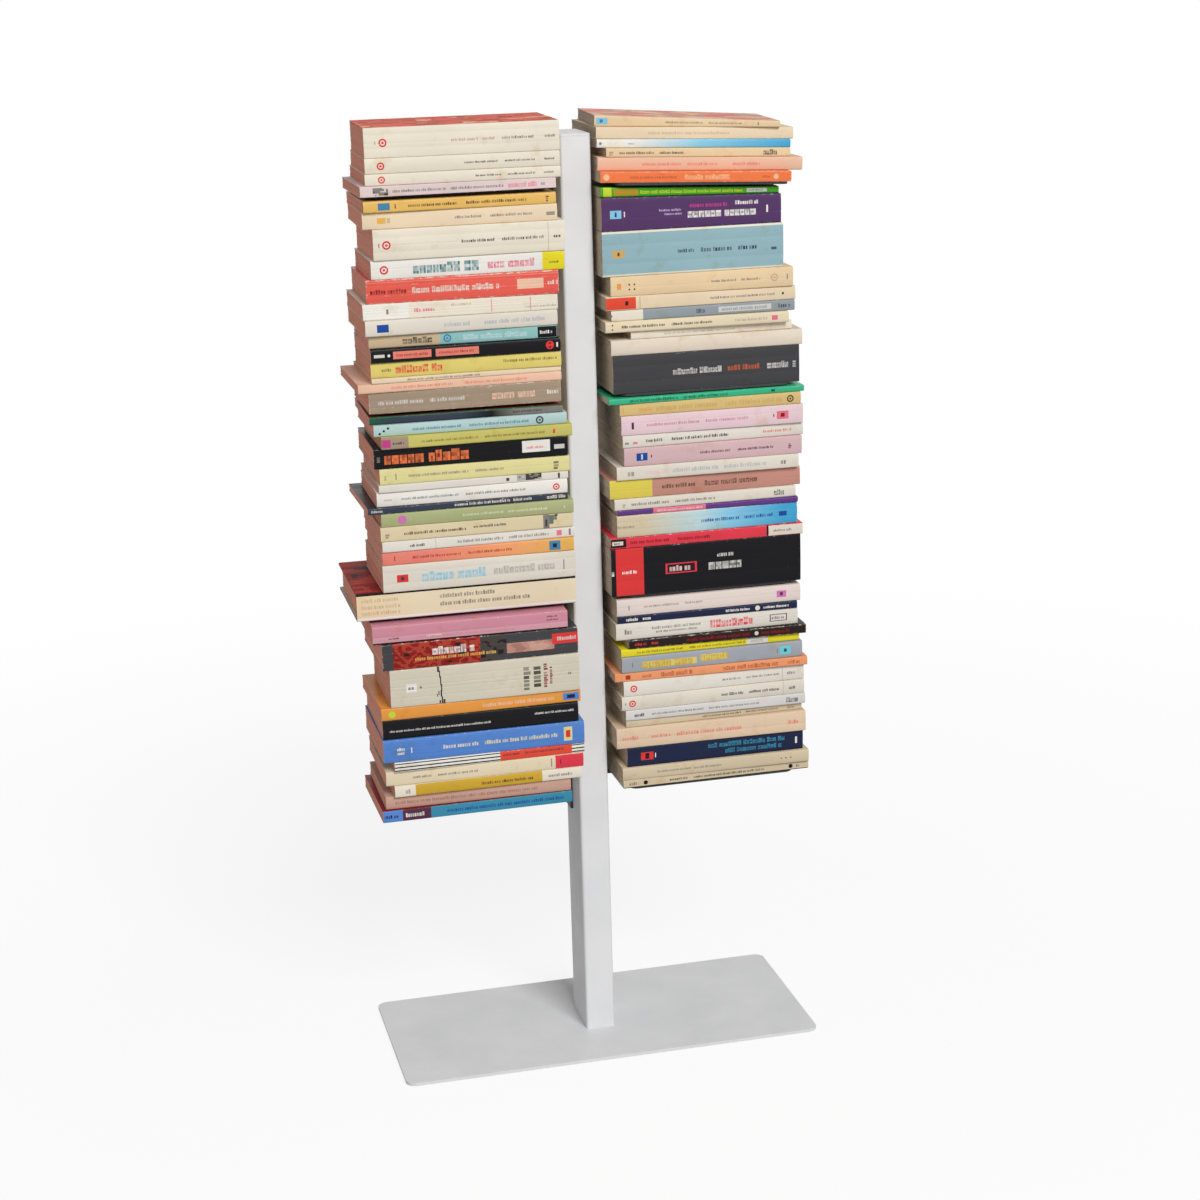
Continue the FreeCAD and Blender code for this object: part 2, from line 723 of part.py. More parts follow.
def build_stack(side, level):
    """A pile of books, each lying flat on the one below it, tilted as its shelf is."""
    stack = f"{side}_{level}"
    books = []
    for number in range(1, books_that_fit(side, level) + 1):
        name = f"{stack}_book_{number:02d}"
        spine_line = f"{COLUMN_FRONT} - Sizes.{stack}_spines - Sizes.{name}_ahead"
        books.append(build_book(name, side, spine_line, level, books[-1] if books else None))
    pile = group(f"books_{stack}_set", books)
    sag = f"{SIDES[side]} * Sizes.{stack}_sag * 1deg"
    bend = f"({SIDES[side]} * (Sizes.column_width / 2 + {NECK_END}))"
    height = level_top(level)
    bind(pile,
         Base_x=f"{bend} - {bend} * cos({sag}) - {height} * sin({sag})",
         Base_z=f"{height} + {bend} * sin({sag}) - {height} * cos({sag})")
    turn_about_y(pile, sag)
    keep(pile, f"books_{stack}")


# ---------------------------------------------------------------------------------------
# The whole shelf
# ---------------------------------------------------------------------------------------

build_pads()
build_base()
build_foot_block()
build_foot_screws()
build_column()
build_cap()
build_sleeves()
for shelf_level in LEVELS:
    for shelf_side in SIDES:
        build_shelf(shelf_side, shelf_level)
        build_shelf_screws(shelf_side, shelf_level)
        build_stack(shelf_side, shelf_level)

doc.recompute()

failed = [thing.Name for thing in doc.Objects
          if "Invalid" in thing.State or "Error" in thing.State]
if failed:
    raise RuntimeError(f"objects that failed to compute: {failed}")
for node in nodes:
    if node.Shape.isNull() or not node.Shape.isValid() or not node.Shape.Solids:
        raise RuntimeError(f"{node.Label} has no valid shape")

os.makedirs("parts", exist_ok=True)
for node in nodes:
    node.Shape.exportStep(f"parts/{node.Label}.step")
    box = node.Shape.BoundBox
    print(f"{node.Label:28s} solids {len(node.Shape.Solids):2d}  volume {node.Shape.Volume:12.1f}"
          f"  x {box.XMin:8.2f} {box.XMax:8.2f}  y {box.YMin:8.2f} {box.YMax:8.2f}"
          f"  z {box.ZMin:8.2f} {box.ZMax:8.2f}")
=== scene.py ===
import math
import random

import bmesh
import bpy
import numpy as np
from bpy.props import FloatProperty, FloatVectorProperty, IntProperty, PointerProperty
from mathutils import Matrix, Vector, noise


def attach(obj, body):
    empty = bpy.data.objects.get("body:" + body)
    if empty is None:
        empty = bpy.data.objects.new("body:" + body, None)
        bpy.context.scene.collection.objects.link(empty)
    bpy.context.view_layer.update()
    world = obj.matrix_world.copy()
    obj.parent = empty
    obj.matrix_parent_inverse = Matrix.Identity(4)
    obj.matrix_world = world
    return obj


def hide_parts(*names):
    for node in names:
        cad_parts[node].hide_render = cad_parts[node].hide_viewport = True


bl_info = {
    "name": "Spine Bookshelf",
    "version": (1, 0, 0),
    "blender": (4, 5, 0),
    "location": "3D Viewport > Sidebar > Bookshelf",
    "description": "Dresses a steel column shelf with its stacks of well-read paperbacks",
    "category": "Object",
}

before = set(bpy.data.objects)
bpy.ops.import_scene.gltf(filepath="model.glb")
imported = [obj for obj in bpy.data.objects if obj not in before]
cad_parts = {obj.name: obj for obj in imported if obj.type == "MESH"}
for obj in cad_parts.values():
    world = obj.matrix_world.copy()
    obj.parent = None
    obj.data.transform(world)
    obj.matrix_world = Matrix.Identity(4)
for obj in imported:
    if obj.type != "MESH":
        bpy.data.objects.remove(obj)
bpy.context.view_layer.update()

MM = 0.001


# ---------------------------------------------------------------------------------------
# Inks: the colours of the covers, as they look in plain light
# ---------------------------------------------------------------------------------------

INKS = {
    "azure": (0.26, 0.63, 0.80),
    "black": (0.055, 0.055, 0.07),
    "blue": (0.33, 0.51, 0.79),
    "brick": (0.66, 0.24, 0.17),
    "brown": (0.36, 0.25, 0.17),
    "charcoal": (0.25, 0.25, 0.26),
    "cream": (0.89, 0.855, 0.785),
    "crimson": (0.865, 0.235, 0.30),
    "cyan": (0.42, 0.80, 0.84),
    "dark": (0.26, 0.24, 0.23),
    "dark_red": (0.52, 0.10, 0.09),
    "deep_blue": (0.12, 0.28, 0.58),
    "deep_green": (0.08, 0.36, 0.25),
    "deep_teal": (0.18, 0.47, 0.50),
    "dusty_pink": (0.765, 0.61, 0.545),
    "emerald": (0.22, 0.70, 0.52),
    "gold": (0.87, 0.68, 0.34),
    "golden": (0.885, 0.715, 0.385),
    "green": (0.29, 0.64, 0.14),
    "grey": (0.50, 0.48, 0.46),
    "ice": (0.74, 0.83, 0.84),
    "ivory": (0.86, 0.83, 0.775),
    "khaki_cream": (0.81, 0.745, 0.63),
    "lavender_grey": (0.625, 0.64, 0.67),
    "lemon": (0.89, 0.83, 0.16),
    "lemon_olive": (0.84, 0.77, 0.32),
    "light_blue": (0.52, 0.76, 0.86),
    "lilac": (0.74, 0.66, 0.80),
    "lilac_pale": (0.86, 0.785, 0.775),
    "lilac_pink": (0.89, 0.785, 0.805),
    "lilac_white": (0.835, 0.825, 0.81),
    "lime": (0.76, 0.84, 0.22),
    "lining": (0.86, 0.84, 0.78),
    "magenta": (0.74, 0.25, 0.50),
    "maroon": (0.14, 0.08, 0.08),
    "mauve": (0.80, 0.54, 0.60),
    "mauve_pink": (0.82, 0.69, 0.70),
    "mustard": (0.78, 0.63, 0.20),
    "mustard_pale": (0.845, 0.735, 0.49),
    "navy": (0.10, 0.13, 0.25),
    "oat": (0.87, 0.815, 0.75),
    "off_white": (0.865, 0.84, 0.80),
    "olive": (0.50, 0.45, 0.20),
    "olive_orange": (0.70, 0.56, 0.16),
    "olive_yellow": (0.76, 0.73, 0.40),
    "orange": (0.89, 0.595, 0.27),
    "orange_salmon": (0.91, 0.60, 0.42),
    "orchid": (0.80, 0.45, 0.68),
    "pale_blue": (0.70, 0.80, 0.79),
    "pale_grey": (0.80, 0.79, 0.77),
    "pale_pink": (0.90, 0.76, 0.76),
    "pale_sage": (0.80, 0.83, 0.68),
    "pale_salmon": (0.90, 0.735, 0.63),
    "pale_slate": (0.70, 0.71, 0.73),
    "pale_yellow": (0.86, 0.825, 0.585),
    "parchment": (0.885, 0.825, 0.705),
    "peach": (0.93, 0.72, 0.56),
    "peach_sand": (0.86, 0.76, 0.65),
    "pink_cream": (0.87, 0.81, 0.78),
    "pink_mauve": (0.82, 0.60, 0.65),
    "plum": (0.32, 0.17, 0.27),
    "purple": (0.32, 0.21, 0.38),
    "red": (0.84, 0.22, 0.22),
    "rose": (0.87, 0.45, 0.53),
    "rose_grey": (0.64, 0.46, 0.42),
    "rosy_brown": (0.74, 0.53, 0.475),
    "rust": (0.72, 0.34, 0.22),
    "sage": (0.66, 0.68, 0.49),
    "salmon": (0.88, 0.50, 0.44),
    "sand": (0.855, 0.795, 0.65),
    "sand_pale": (0.89, 0.81, 0.69),
    "sea_grey": (0.40, 0.46, 0.42),
    "slate": (0.21, 0.24, 0.30),
    "slate_light": (0.56, 0.60, 0.62),
    "soft_grey": (0.68, 0.66, 0.63),
    "soft_tan": (0.78, 0.69, 0.56),
    "steel_blue": (0.27, 0.50, 0.64),
    "steel_pale": (0.565, 0.695, 0.725),
    "stone": (0.82, 0.79, 0.715),
    "tan": (0.80, 0.65, 0.40),
    "taupe": (0.625, 0.55, 0.47),
    "teal": (0.22, 0.53, 0.645),
    "teal_pale": (0.55, 0.74, 0.73),
    "tomato": (0.87, 0.295, 0.21),
    "vermilion": (0.88, 0.36, 0.31),
    "violet": (0.38, 0.22, 0.50),
    "vivid_orange": (0.92, 0.47, 0.27),
    "wheat": (0.89, 0.785, 0.63),
    "white": (0.91, 0.895, 0.865),
    "yellow": (0.86, 0.79, 0.44),
}


def linear(colour):
    """A colour as the eye sees it, turned into linear light, with full cover."""
    bright = [c / 12.92 if c <= 0.04045 else ((c + 0.055) / 1.055) ** 2.4 for c in colour]
    return (*bright, 1.0)


# ---------------------------------------------------------------------------------------
# The print on a spine.  Places along the spine are in millimetres from the column's middle;
# heights are shares of the book's thickness, counted from its lower board.
# ---------------------------------------------------------------------------------------

def words(start, end, ink, tall=0.22, at=0.5, bold=False, upright=False):
    """A line of small generic type, made of uneven strokes."""
    return ("words", start, end, ink, tall, at, bold, upright)


def title(start, end, ink, tall=0.5, at=0.5):
    """A line of large generic type."""
    return words(start, end, ink, tall, at, bold=True)


def block(start, end, ink, tall=0.62, at=0.5):
    """A printed label or square."""
    return ("area", start, end, ink, ink, at - tall / 2, at + tall / 2)


def band(start, end, ink, to=None):
    """A stretch of the spine in another ink, or running over into a second one."""
    return ("area", start, end, ink, to or ink, -1, 2)


def stripe(low, high, ink):
    """A stripe along the whole spine."""
    return ("area", -999, 999, ink, ink, low, high)


def tick(x, ink, tall=0.45, at=0.5, wide=1.0):
    """A short upright line."""
    return block(x - wide / 2, x + wide / 2, ink, tall, at)


def disc(x, ink, wide=4.0, at=0.5):
    """A printed dot."""
    return ("round", x, ink, wide, 0.0, at)


def ring(x, ink="red", wide=7.0, at=0.5):
    """A printed ring with a dot in it."""
    return ("round", x, ink, wide, 0.62, at)


def cloudy(start, end, inks, grain=12.0, low=0.0, high=1.0):
    """A cloudy field of a few inks, where a cover carries a picture."""
    return ("cloudy", start, end, inks, grain, low, high)


def book(ground, *marks, finish="card", board=None, picture=None, worn=0.5, creases=0,
         cased=False):
    """How one book looks: its ground, its print, its boards and how well read it is."""
    return {"ground": ground, "marks": marks, "finish": finish, "board": board or ground,
            "picture": picture, "worn": worn, "creases": creases, "cased": cased}


# Each stack, from its shelf upwards.
LOOKS = {
    "left_1": (
        book("teal", band(-240, -202, "blue"), words(-220, -205, "navy", 0.3),
             band(-202, -174, "plum"), words(-199, -178, "white", 0.36),
             words(-158, -40, "deep_blue", 0.3), board="dark_red", finish="gloss"),
        book("dusty_pink", words(-208, -65, "rose_grey", 0.26), worn=0.6),
        book("cream", band(-188, -62, "mustard"), words(-123, -70, "brown", 0.28),
             words(-198, -191, "grey", 0.4), words(-56, -30, "grey", 0.26)),
        book("parchment", words(-190, -170, "grey", 0.17), words(-165, -125, "grey", 0.17),
             tick(-52, "grey", 0.6), block(-48, -10, "crimson", 0.94), tick(-43, "plum", 0.35)),
        book("white", stripe(0.12, 0.24, "black"), stripe(0.45, 0.57, "black"),
             stripe(0.8, 0.9, "black"), block(-103, -31, "tomato", 0.96),
             words(-100, -82, "plum", 0.24, 0.62), words(-78, -38, "plum", 0.24, 0.62),
             finish="gloss", worn=0.7),
        book("blue", words(-204, -195, "white", 0.14, 0.58),
             words(-204, -195, "white", 0.14, 0.4), tick(-190, "white", 0.24),
             words(-159, -122, "ivory", 0.17), words(-118, -45, "pale_yellow", 0.17),
             block(-39, -30.5, "pale_yellow", 0.62), block(-37, -32.5, "red", 0.32),
             finish="gloss", worn=0.6, creases=2),
        book("black", words(-210, -110, "pale_grey", 0.11, 0.42),
             words(-67, -27, "pale_grey", 0.11, 0.62), tick(-12, "white", 0.3, 0.16, 4),
             finish="gloss", worn=0.45, creases=2),
        book("orange", disc(-207, "lime", 7), words(-118, -45, "pale_salmon", 0.3),
             block(-38, -22, "blue", 0.58), tick(-30, "navy", 0.3, wide=8), finish="gloss"),
        book("stone", tick(-160.4, "dark", 0.14, 0.93, 2.2), tick(-159.2, "black", 0.2, 0.8),
             tick(-158.4, "black", 0.24, 0.62), tick(-157.8, "dark", 0.2, 0.44, 1.3),
             tick(-158.3, "black", 0.18, 0.28, 1.3), tick(-157.5, "black", 0.2, 0.1, 1.2),
             tick(-160.6, "dark", 0.1, 0.3), tick(-162, "dark", 0.07, 0.24),
             tick(-155.6, "dark", 0.12, 0.06, 2), tick(-159.6, "dark", 0.1, 0.05, 1.6),
             block(-192, -182, "white", 0.22), words(-190, -184, "dark", 0.09),
             disc(-178, "grey", 2.4),
             words(-77, -70, "dark", 0.72, upright=True),
             words(-67, -60, "maroon", 0.6, upright=True),
             words(-57, -53, "dark_red", 0.66, upright=True),
             words(-51, -48, "dark_red", 0.5, upright=True), words(-33, -29, "grey", 0.08, 0.5),
             worn=0.8, creases=4),
        book("charcoal", band(-203, -120, "dark_red"),
             cloudy(-203, -118, ("maroon", "dark_red", "brick", "dark_red", "brick"), 15.0),
             cloudy(-118, -92, ("charcoal", "dark", "maroon"), 10.0),
             cloudy(-92, -45, ("rose_grey", "rosy_brown", "dusty_pink"), 16.0, 0.24, 0.62),
             title(-165, -120, "white", 0.3, 0.62), words(-182, -102, "gold", 0.13, 0.36),
             block(-47, -12, "red", 0.4, 0.62), words(-42, -22, "pale_grey", 0.15, 0.62),
             finish="gloss", worn=0.7, creases=3),
        book("mauve", stripe(-1, 0.42, "pink_mauve"), block(-170, -155, "pale_pink", 0.1, 0.3),
             words(-52, -40, "plum", 0.09, 0.76), words(-52, -40, "plum", 0.09, 0.58),
             words(-206, -196, "plum", 0.1, 0.3), words(-180, -80, "mauve", 0.14, 0.26),
             stripe(-1, 0.1, "maroon"), finish="gloss", worn=0.6, creases=1),
    ),
    "left_2": (
        book("parchment", band(-240, -175, "wheat", to="parchment"),
             words(-229, -190, "soft_tan", 0.14, 0.74),
             words(-229, -190, "soft_tan", 0.14, 0.5), words(-229, -190, "soft_tan", 0.14, 0.28),
             words(-153, -98, "grey", 0.15, 0.7), words(-153, -62, "grey", 0.15, 0.42),
             stripe(-1, 0.12, "white"), stripe(0.92, 2, "black"), board="dark_red",
             picture=("maroon", "dark_red", "brick", "dark_red"), worn=0.3, cased=True),
        book("ivory", block(-194, -183, "red", 0.28), tick(-188.5, "dark", 0.14, wide=3),
             title(-170, -107, "light_blue", 0.36), title(-100, -40, "soft_grey", 0.28),
             tick(-31, "grey", 0.36), worn=0.5, creases=2),
        book("salmon", band(-160, -95, "salmon", to="orange_salmon"),
             band(-95, -15, "orange_salmon", to="gold"), tick(-195, "brick", 0.4),
             words(-178, -130, "brick", 0.2), words(-124, -80, "brick", 0.2),
             block(-45, -34, "steel_blue", 0.7), block(-41.5, -37.5, "navy", 0.3),
             finish="gloss"),
        book("off_white", words(-180, -165, "dark", 0.26), tick(-155, "soft_grey", 0.9, wide=0.5),
             words(-134, -88, "grey", 0.26), words(-84, -44, "grey", 0.26),
             block(-37, -32, "rose", 0.5), tick(-24, "grey", 0.6, wide=2)),
        book("sand", words(-203, -199, "dark", 0.5, upright=True), words(-185, -125, "brown", 0.2),
             words(-118, -85, "dark", 0.18, 0.58), block(-50, -44, "grey", 0.94),
             block(-44, -40, "sea_grey", 0.62, 0.62), block(-40, -36.5, "grey", 0.36, 0.76),
             block(-48, -46, "dark", 0.5, 0.4), tick(-37, "dark", 0.12, 0.9, 3), worn=0.6),
        book("sage", disc(-186, "orchid", 8.5), words(-128, -88, "pale_sage", 0.18),
             words(-84, -45, "pale_sage", 0.18), tick(-29, "pale_sage", 0.2),
             tick(-178, "lilac", 0.2), finish="gloss"),
        book("slate", words(-215, -204, "pale_grey", 0.36), words(-135, -80, "ivory", 0.4, 0.55),
             words(-78, -58, "ivory", 0.4, 0.55), title(-45, -25, "ivory", 0.5),
             board="maroon", finish="gloss", worn=0.6),
        book("white", words(-202, -193, "soft_grey", 0.16), words(-186, -130, "grey", 0.17),
             words(-124, -65, "grey", 0.17), ring(-36, "red", 6.5), worn=0.6),
        book("off_white", cloudy(-74, -50, ("off_white", "soft_grey", "dark", "grey"), 9.0, 0.2),
             tick(-83, "dark", 0.4, wide=3), tick(-33, "dark", 0.7, wide=2)),
        book("pale_yellow", words(-201, -199, "grey", 0.4, upright=True), tick(-190, "grey", 0.4),
             words(-178, -120, "grey", 0.16), words(-114, -86, "grey", 0.16),
             words(-38, -33, "dark", 0.62, upright=True), worn=0.6, creases=1),
        book("black", title(-200, -118, "vivid_orange", 0.56), block(-68, -41, "white", 0.58, 0.6),
             words(-64, -46, "salmon", 0.12, 0.55), block(-37, -27, "pale_grey", 0.22),
             words(-207, -204, "grey", 0.3, upright=True), finish="gloss", worn=0.55, creases=1),
        book("olive_yellow", band(-220, -177, "taupe"), block(-202, -194, "magenta", 0.66),
             words(-192, -180, "dark", 0.22), words(-165, -110, "olive", 0.2),
             words(-104, -45, "olive", 0.2), tick(-37, "red", 0.36, wide=2)),
        book("pale_blue", disc(-203, "black", 2.2, 0.28), disc(-199, "black", 2.2, 0.5),
             disc(-195, "black", 2.2, 0.72), words(-172, -125, "steel_blue", 0.24),
             words(-118, -60, "steel_blue", 0.24), ring(-50, "slate", 7.5)),
        book("grey", band(-240, -190, "deep_green", to="slate"), band(-190, -125, "slate"),
             band(-125, -95, "slate", to="black"), band(-95, -70, "black", to="grey"),
             words(-75, -45, "dark", 0.3), stripe(0.86, 2, "deep_green"),
             board="brick", finish="gloss", worn=0.5),
    ),
    "left_3": (
        book("taupe", words(-203, -160, "pale_grey", 0.18), words(-154, -120, "pale_grey", 0.18),
             title(-95, -50, "pale_salmon", 0.36), words(-42, -30, "ivory", 0.2), worn=1.0,
             creases=2),
        book("pale_salmon", words(-190, -130, "salmon", 0.3), words(-120, -60, "salmon", 0.3)),
        book("sand_pale", words(-175, -105, "grey", 0.4)),
        book("yellow", words(-198, -188, "olive", 0.2), title(-185, -140, "red", 0.5),
             words(-83, -31, "olive", 0.2, 0.6)),
        book("black", block(-205, -195, "pale_grey", 0.22), disc(-191, "white", 2.6),
             block(-187, -151, "salmon", 0.54), words(-184, -154, "brick", 0.2),
             block(-147, -106, "salmon", 0.54), words(-144, -109, "brick", 0.2),
             disc(-38, "red", 8), tick(-31, "white", 0.34, wide=1.6), finish="gloss", worn=0.45),
        book("teal_pale", band(-220, -142, "soft_tan"), title(-177, -148, "dark", 0.5),
             ring(-135, "steel_blue", 7.5), title(-120, -57, "ice", 0.42),
             block(-49, -31, "black", 0.86), words(-47, -33, "white", 0.26)),
        book("ivory", block(-201, -190, "deep_blue", 0.5), words(-138, -110, "pale_slate", 0.28),
             words(-100, -40, "pale_slate", 0.28), worn=0.6),
        book("cream", band(-220, -170, "white"), words(-165, -145, "rose", 0.24),
             tick(-92, "rose", 0.8, wide=0.7), tick(-55, "rose", 0.8, wide=0.7),
             tick(-190, "grey", 0.3, wide=2), words(-130, -110, "dusty_pink", 0.14, 0.7),
             words(-60, -30, "soft_grey", 0.14, 0.3), worn=1.2, creases=4),
        book("vermilion", words(-205, -170, "dark_red", 0.2), title(-166, -80, "ivory", 0.26),
             block(-67, -42, "pale_salmon", 0.42), words(-38, -25, "ivory", 0.18),
             stripe(0.86, 0.9, "salmon"), finish="gloss", worn=1.0, creases=3),
        book("white", ring(-191, "red", 8), title(-164, -102, "deep_teal", 0.54),
             title(-94, -49, "rose", 0.44), band(-42, 0, "lemon"),
             words(-36, -26, "olive", 0.14, 0.44), finish="gloss", worn=0.7, creases=1),
        book("cream", ring(-188, "red", 8), tick(-195, "grey", 0.14),
             words(-118, -86, "dark", 0.1), words(-80, -40, "dark", 0.1),
             tick(-36, "soft_grey", 0.94, wide=0.5), words(-31, -23, "dark", 0.1), worn=0.5,
             creases=3),
        book("sand_pale", block(-195, -187, "gold", 0.34), block(-186, -183, "soft_tan", 0.3),
             words(-123, -96, "grey", 0.16), words(-90, -50, "grey", 0.16),
             words(-37, -29, "grey", 0.34, upright=True)),
        book("golden", block(-194, -183, "steel_blue", 0.62), tick(-178, "brown", 0.4),
             words(-166, -120, "brown", 0.26), words(-112, -55, "brown", 0.26),
             words(-37, -34, "dark", 0.6, upright=True), finish="gloss", worn=0.7),
    ),
    "left_4": (
        book("lilac_pale", cloudy(-198, -184, ("lilac_pale", "grey", "dark"), 5.0, 0.15, 0.85),
             words(-180, -130, "grey", 0.26), words(-126, -75, "grey", 0.26),
             title(-72, -45, "rose", 0.42), words(-41, -36, "grey", 0.3),
             # Painted shade: the black stripe along the spine's lower edge is the shadow line over
             # the shelf.
             stripe(-1, 0.06, "black")),
        book("cream", ring(-189, "red", 6.5), words(-102, -77, "dark", 0.18),
             words(-72, -45, "dark", 0.18), words(-38, -28, "dark", 0.18)),
        book("cream", ring(-189, "red", 7), words(-112, -80, "dark", 0.14),
             words(-74, -45, "dark", 0.14), words(-37, -26, "dark", 0.14)),
        book("cream", ring(-186, "red", 7.5), tick(-193, "soft_grey", 0.12),
             words(-123, -97, "dusty_pink", 0.1), words(-94, -82, "dusty_pink", 0.1),
             words(-76, -44, "grey", 0.1), words(-36, -26, "dark", 0.09), board="rust",
             picture=("brick", "vermilion", "rust", "peach"), worn=0.6, creases=3),
    ),
    "right_1": (
        book("khaki_cream", words(31, 41, "grey", 0.4), disc(48, "black", 4.4),
             disc(201, "black", 4.4), words(73, 92, "dark", 0.28), words(98, 175, "dark", 0.28),
             # Painted shade: the black stripe along the spine's lower edge is the shadow line under
             # the stack.
             words(207, 211, "grey", 0.4), stripe(-1, 0.12, "black")),
        book("khaki_cream", words(60, 95, "grey", 0.17), words(98, 128, "grey", 0.17),
             disc(190, "dark", 1.4), disc(195, "dark", 1.4), disc(200, "dark", 1.4),
             words(34, 40, "soft_tan", 0.4, upright=True)),
        book("navy", block(44, 57, "red", 0.4), tick(50.5, "maroon", 0.3, wide=4),
             tick(59, "white", 0.24), title(114, 195, "teal", 0.24, 0.68),
             title(132, 195, "teal", 0.24, 0.34), tick(207, "white", 0.34, wide=2),
             finish="gloss", worn=0.45, creases=1),
        book("peach_sand", words(25, 42, "salmon", 0.2), words(55, 75, "salmon", 0.16),
             words(81, 150, "salmon", 0.2), words(198, 209, "salmon", 0.2), creases=1),
        book("khaki_cream", words(33, 42, "soft_tan", 0.4), words(109, 150, "brown", 0.26),
             words(154, 190, "brown", 0.26), words(198, 207, "grey", 0.34)),
        book("lilac_white", words(38, 50, "black", 0.3), words(56, 110, "grey", 0.2),
             words(115, 168, "grey", 0.2), title(196, 209, "dark", 0.5)),
        book("ivory", ring(36), tick(29, "grey", 0.16), title(128, 152, "black", 0.2),
             title(157, 190, "black", 0.2), tick(193, "soft_grey", 0.94, wide=0.5),
             title(199, 207, "dark", 0.22)),
        book("off_white", ring(38), words(130, 150, "grey", 0.14), words(155, 190, "grey", 0.14),
             tick(193, "soft_grey", 0.94, wide=0.5), words(198, 208, "grey", 0.2)),
        book("orange_salmon", block(30, 35, "brick", 0.5), title(47, 57, "rust", 0.4),
             title(66, 100, "rust", 0.5), title(130, 190, "rust", 0.5),
             words(198, 212, "rust", 0.4)),
        book("lavender_grey", tick(37, "grey", 0.3), block(47, 103, "yellow", 0.4, 0.44),
             title(47, 103, "mustard", 0.5, 0.46), block(107, 135, "yellow", 0.4, 0.54),
             title(107, 135, "mustard", 0.5, 0.56), tick(187, "grey", 0.3),
             block(190, 201, "cyan", 0.5), tick(195.5, "slate", 0.2, wide=3), finish="gloss"),
        book("lemon", words(42, 90, "olive", 0.3), words(96, 155, "olive", 0.3),
             block(156, 178, "off_white", 0.86), words(160, 174, "soft_grey", 0.4),
             finish="gloss", worn=0.4),
        book("maroon", words(40, 53, "red", 0.3), words(57, 66, "red", 0.3),
             words(93, 160, "dark_red", 0.36), words(170, 200, "dark_red", 0.36),
             disc(165, "ivory", 4.2), finish="gloss", worn=0.85),
        book("off_white", words(30, 38, "grey", 0.3), words(58, 110, "grey", 0.15, 0.6),
             words(62, 105, "grey", 0.13, 0.36), title(118, 168, "crimson", 0.48),
             block(180, 198, "dark", 0.44), block(181, 197, "off_white", 0.36),
             words(182, 196, "grey", 0.18), worn=0.6, creases=1),
        book("navy", words(32, 46, "white", 0.4), words(49, 58, "white", 0.4),
             words(134, 160, "white", 0.34), disc(167, "cream", 5), words(173, 200, "white", 0.34),
             finish="gloss", worn=0.45),
        book("pink_cream", tick(35, "grey", 0.3), words(50, 87, "grey", 0.12),
             words(92, 110, "grey", 0.12), block(187, 197, "orchid", 0.4),
             tick(192, "plum", 0.2, wide=3), creases=1),
    ),
    "right_2": (
        book("black", band(23, 51, "red"), words(29, 46, "white", 0.07),
             words(18.5, 21, "white", 0.12, upright=True), block(73, 105, "crimson", 0.22),
             block(75, 103, "maroon", 0.17), words(77, 101, "pale_pink", 0.12),
             title(117, 151, "pale_grey", 0.2, 0.5), words(126, 143, "pale_grey", 0.07, 0.7),
             finish="gloss", worn=0.5, creases=2),
        book("crimson", block(16, 34, "black", 0.72), block(20, 31, "ivory", 0.34),
             words(22, 29, "black", 0.2), words(38, 80, "dark_red", 0.28),
             words(86, 120, "dark_red", 0.28), tick(178, "black", 0.96, wide=2),
             block(179, 220, "ivory", 0.86), words(184, 204, "grey", 0.22), finish="gloss",
             worn=0.7),
        book("khaki_cream", band(50, 105, "khaki_cream", to="ice"),
             band(105, 138, "ice", to="light_blue"), band(138, 195, "light_blue", to="azure"),
             band(195, 240, "azure"), words(23, 43, "grey", 0.12),
             words(110, 150, "deep_blue", 0.15), words(154, 187, "deep_blue", 0.15),
             block(190, 198, "deep_blue", 0.22), finish="gloss", worn=0.9, creases=2),
        book("violet", block(62, 115, "rose", 0.96), words(66, 112, "pale_pink", 0.4),
             finish="gloss"),
        book("ivory", words(31, 34, "grey", 0.5, upright=True), words(40, 80, "grey", 0.26),
             words(84, 125, "grey", 0.26), title(185, 197, "dark", 0.5)),
        book("rosy_brown", band(0, 62, "lemon_olive"), words(72, 108, "brown", 0.22),
             title(115, 175, "brown", 0.28), finish="gloss", worn=0.7, creases=1),
        book("ivory", words(37, 47, "grey", 0.4), words(55, 80, "pale_pink", 0.34),
             words(82, 130, "pale_slate", 0.3), words(134, 180, "pale_slate", 0.3),
             words(192, 198, "grey", 0.36)),
        book("mauve_pink", block(46, 57, "deep_blue", 0.42), tick(51.5, "ice", 0.28, wide=1.8),
             tick(61, "plum", 0.16), words(110, 142, "plum", 0.14), words(148, 185, "plum", 0.14),
             words(200, 203, "plum", 0.36, upright=True), worn=0.6),
        book("off_white", words(35, 40, "grey", 0.4, upright=True),
             words(43, 49, "rose", 0.4, upright=True), words(56, 74, "dark", 0.24),
             words(82, 140, "dark", 0.24), words(175, 205, "salmon", 0.22)),
        book("lilac_pink", tick(43, "plum", 0.36, wide=2.4), words(57, 110, "mauve", 0.16),
             words(116, 160, "mauve", 0.16), block(188, 200, "rose", 0.42),
             tick(194, "dark_red", 0.2, wide=4), tick(185, "plum", 0.16), worn=0.6, creases=1),
        book("mustard_pale", words(50, 65, "orange", 0.36), words(67, 130, "tan", 0.4),
             words(136, 195, "tan", 0.4), ring(202, "brown", 7), tick(34, "tan", 0.4)),
        book("emerald", words(40, 90, "deep_green", 0.44), words(94, 140, "deep_green", 0.44),
             tick(185, "deep_green", 0.4, wide=4), finish="gloss"),
    ),
    "right_3": (
        book("charcoal", title(85, 134, "pale_grey", 0.16), words(140, 175, "rust", 0.14),
             title(180, 202, "pale_grey", 0.18), words(206, 210, "pale_grey", 0.2, upright=True),
             worn=0.5, creases=2),
        book("oat", words(60, 150, "sand_pale", 0.12), worn=0.6),
        book("cream", words(78, 150, "soft_grey", 0.22)),
        book("parchment", disc(26, "dark", 1.6, 0.3), disc(26, "dark", 1.6, 0.7),
             words(35, 80, "dark", 0.24), words(84, 127, "dark", 0.24),
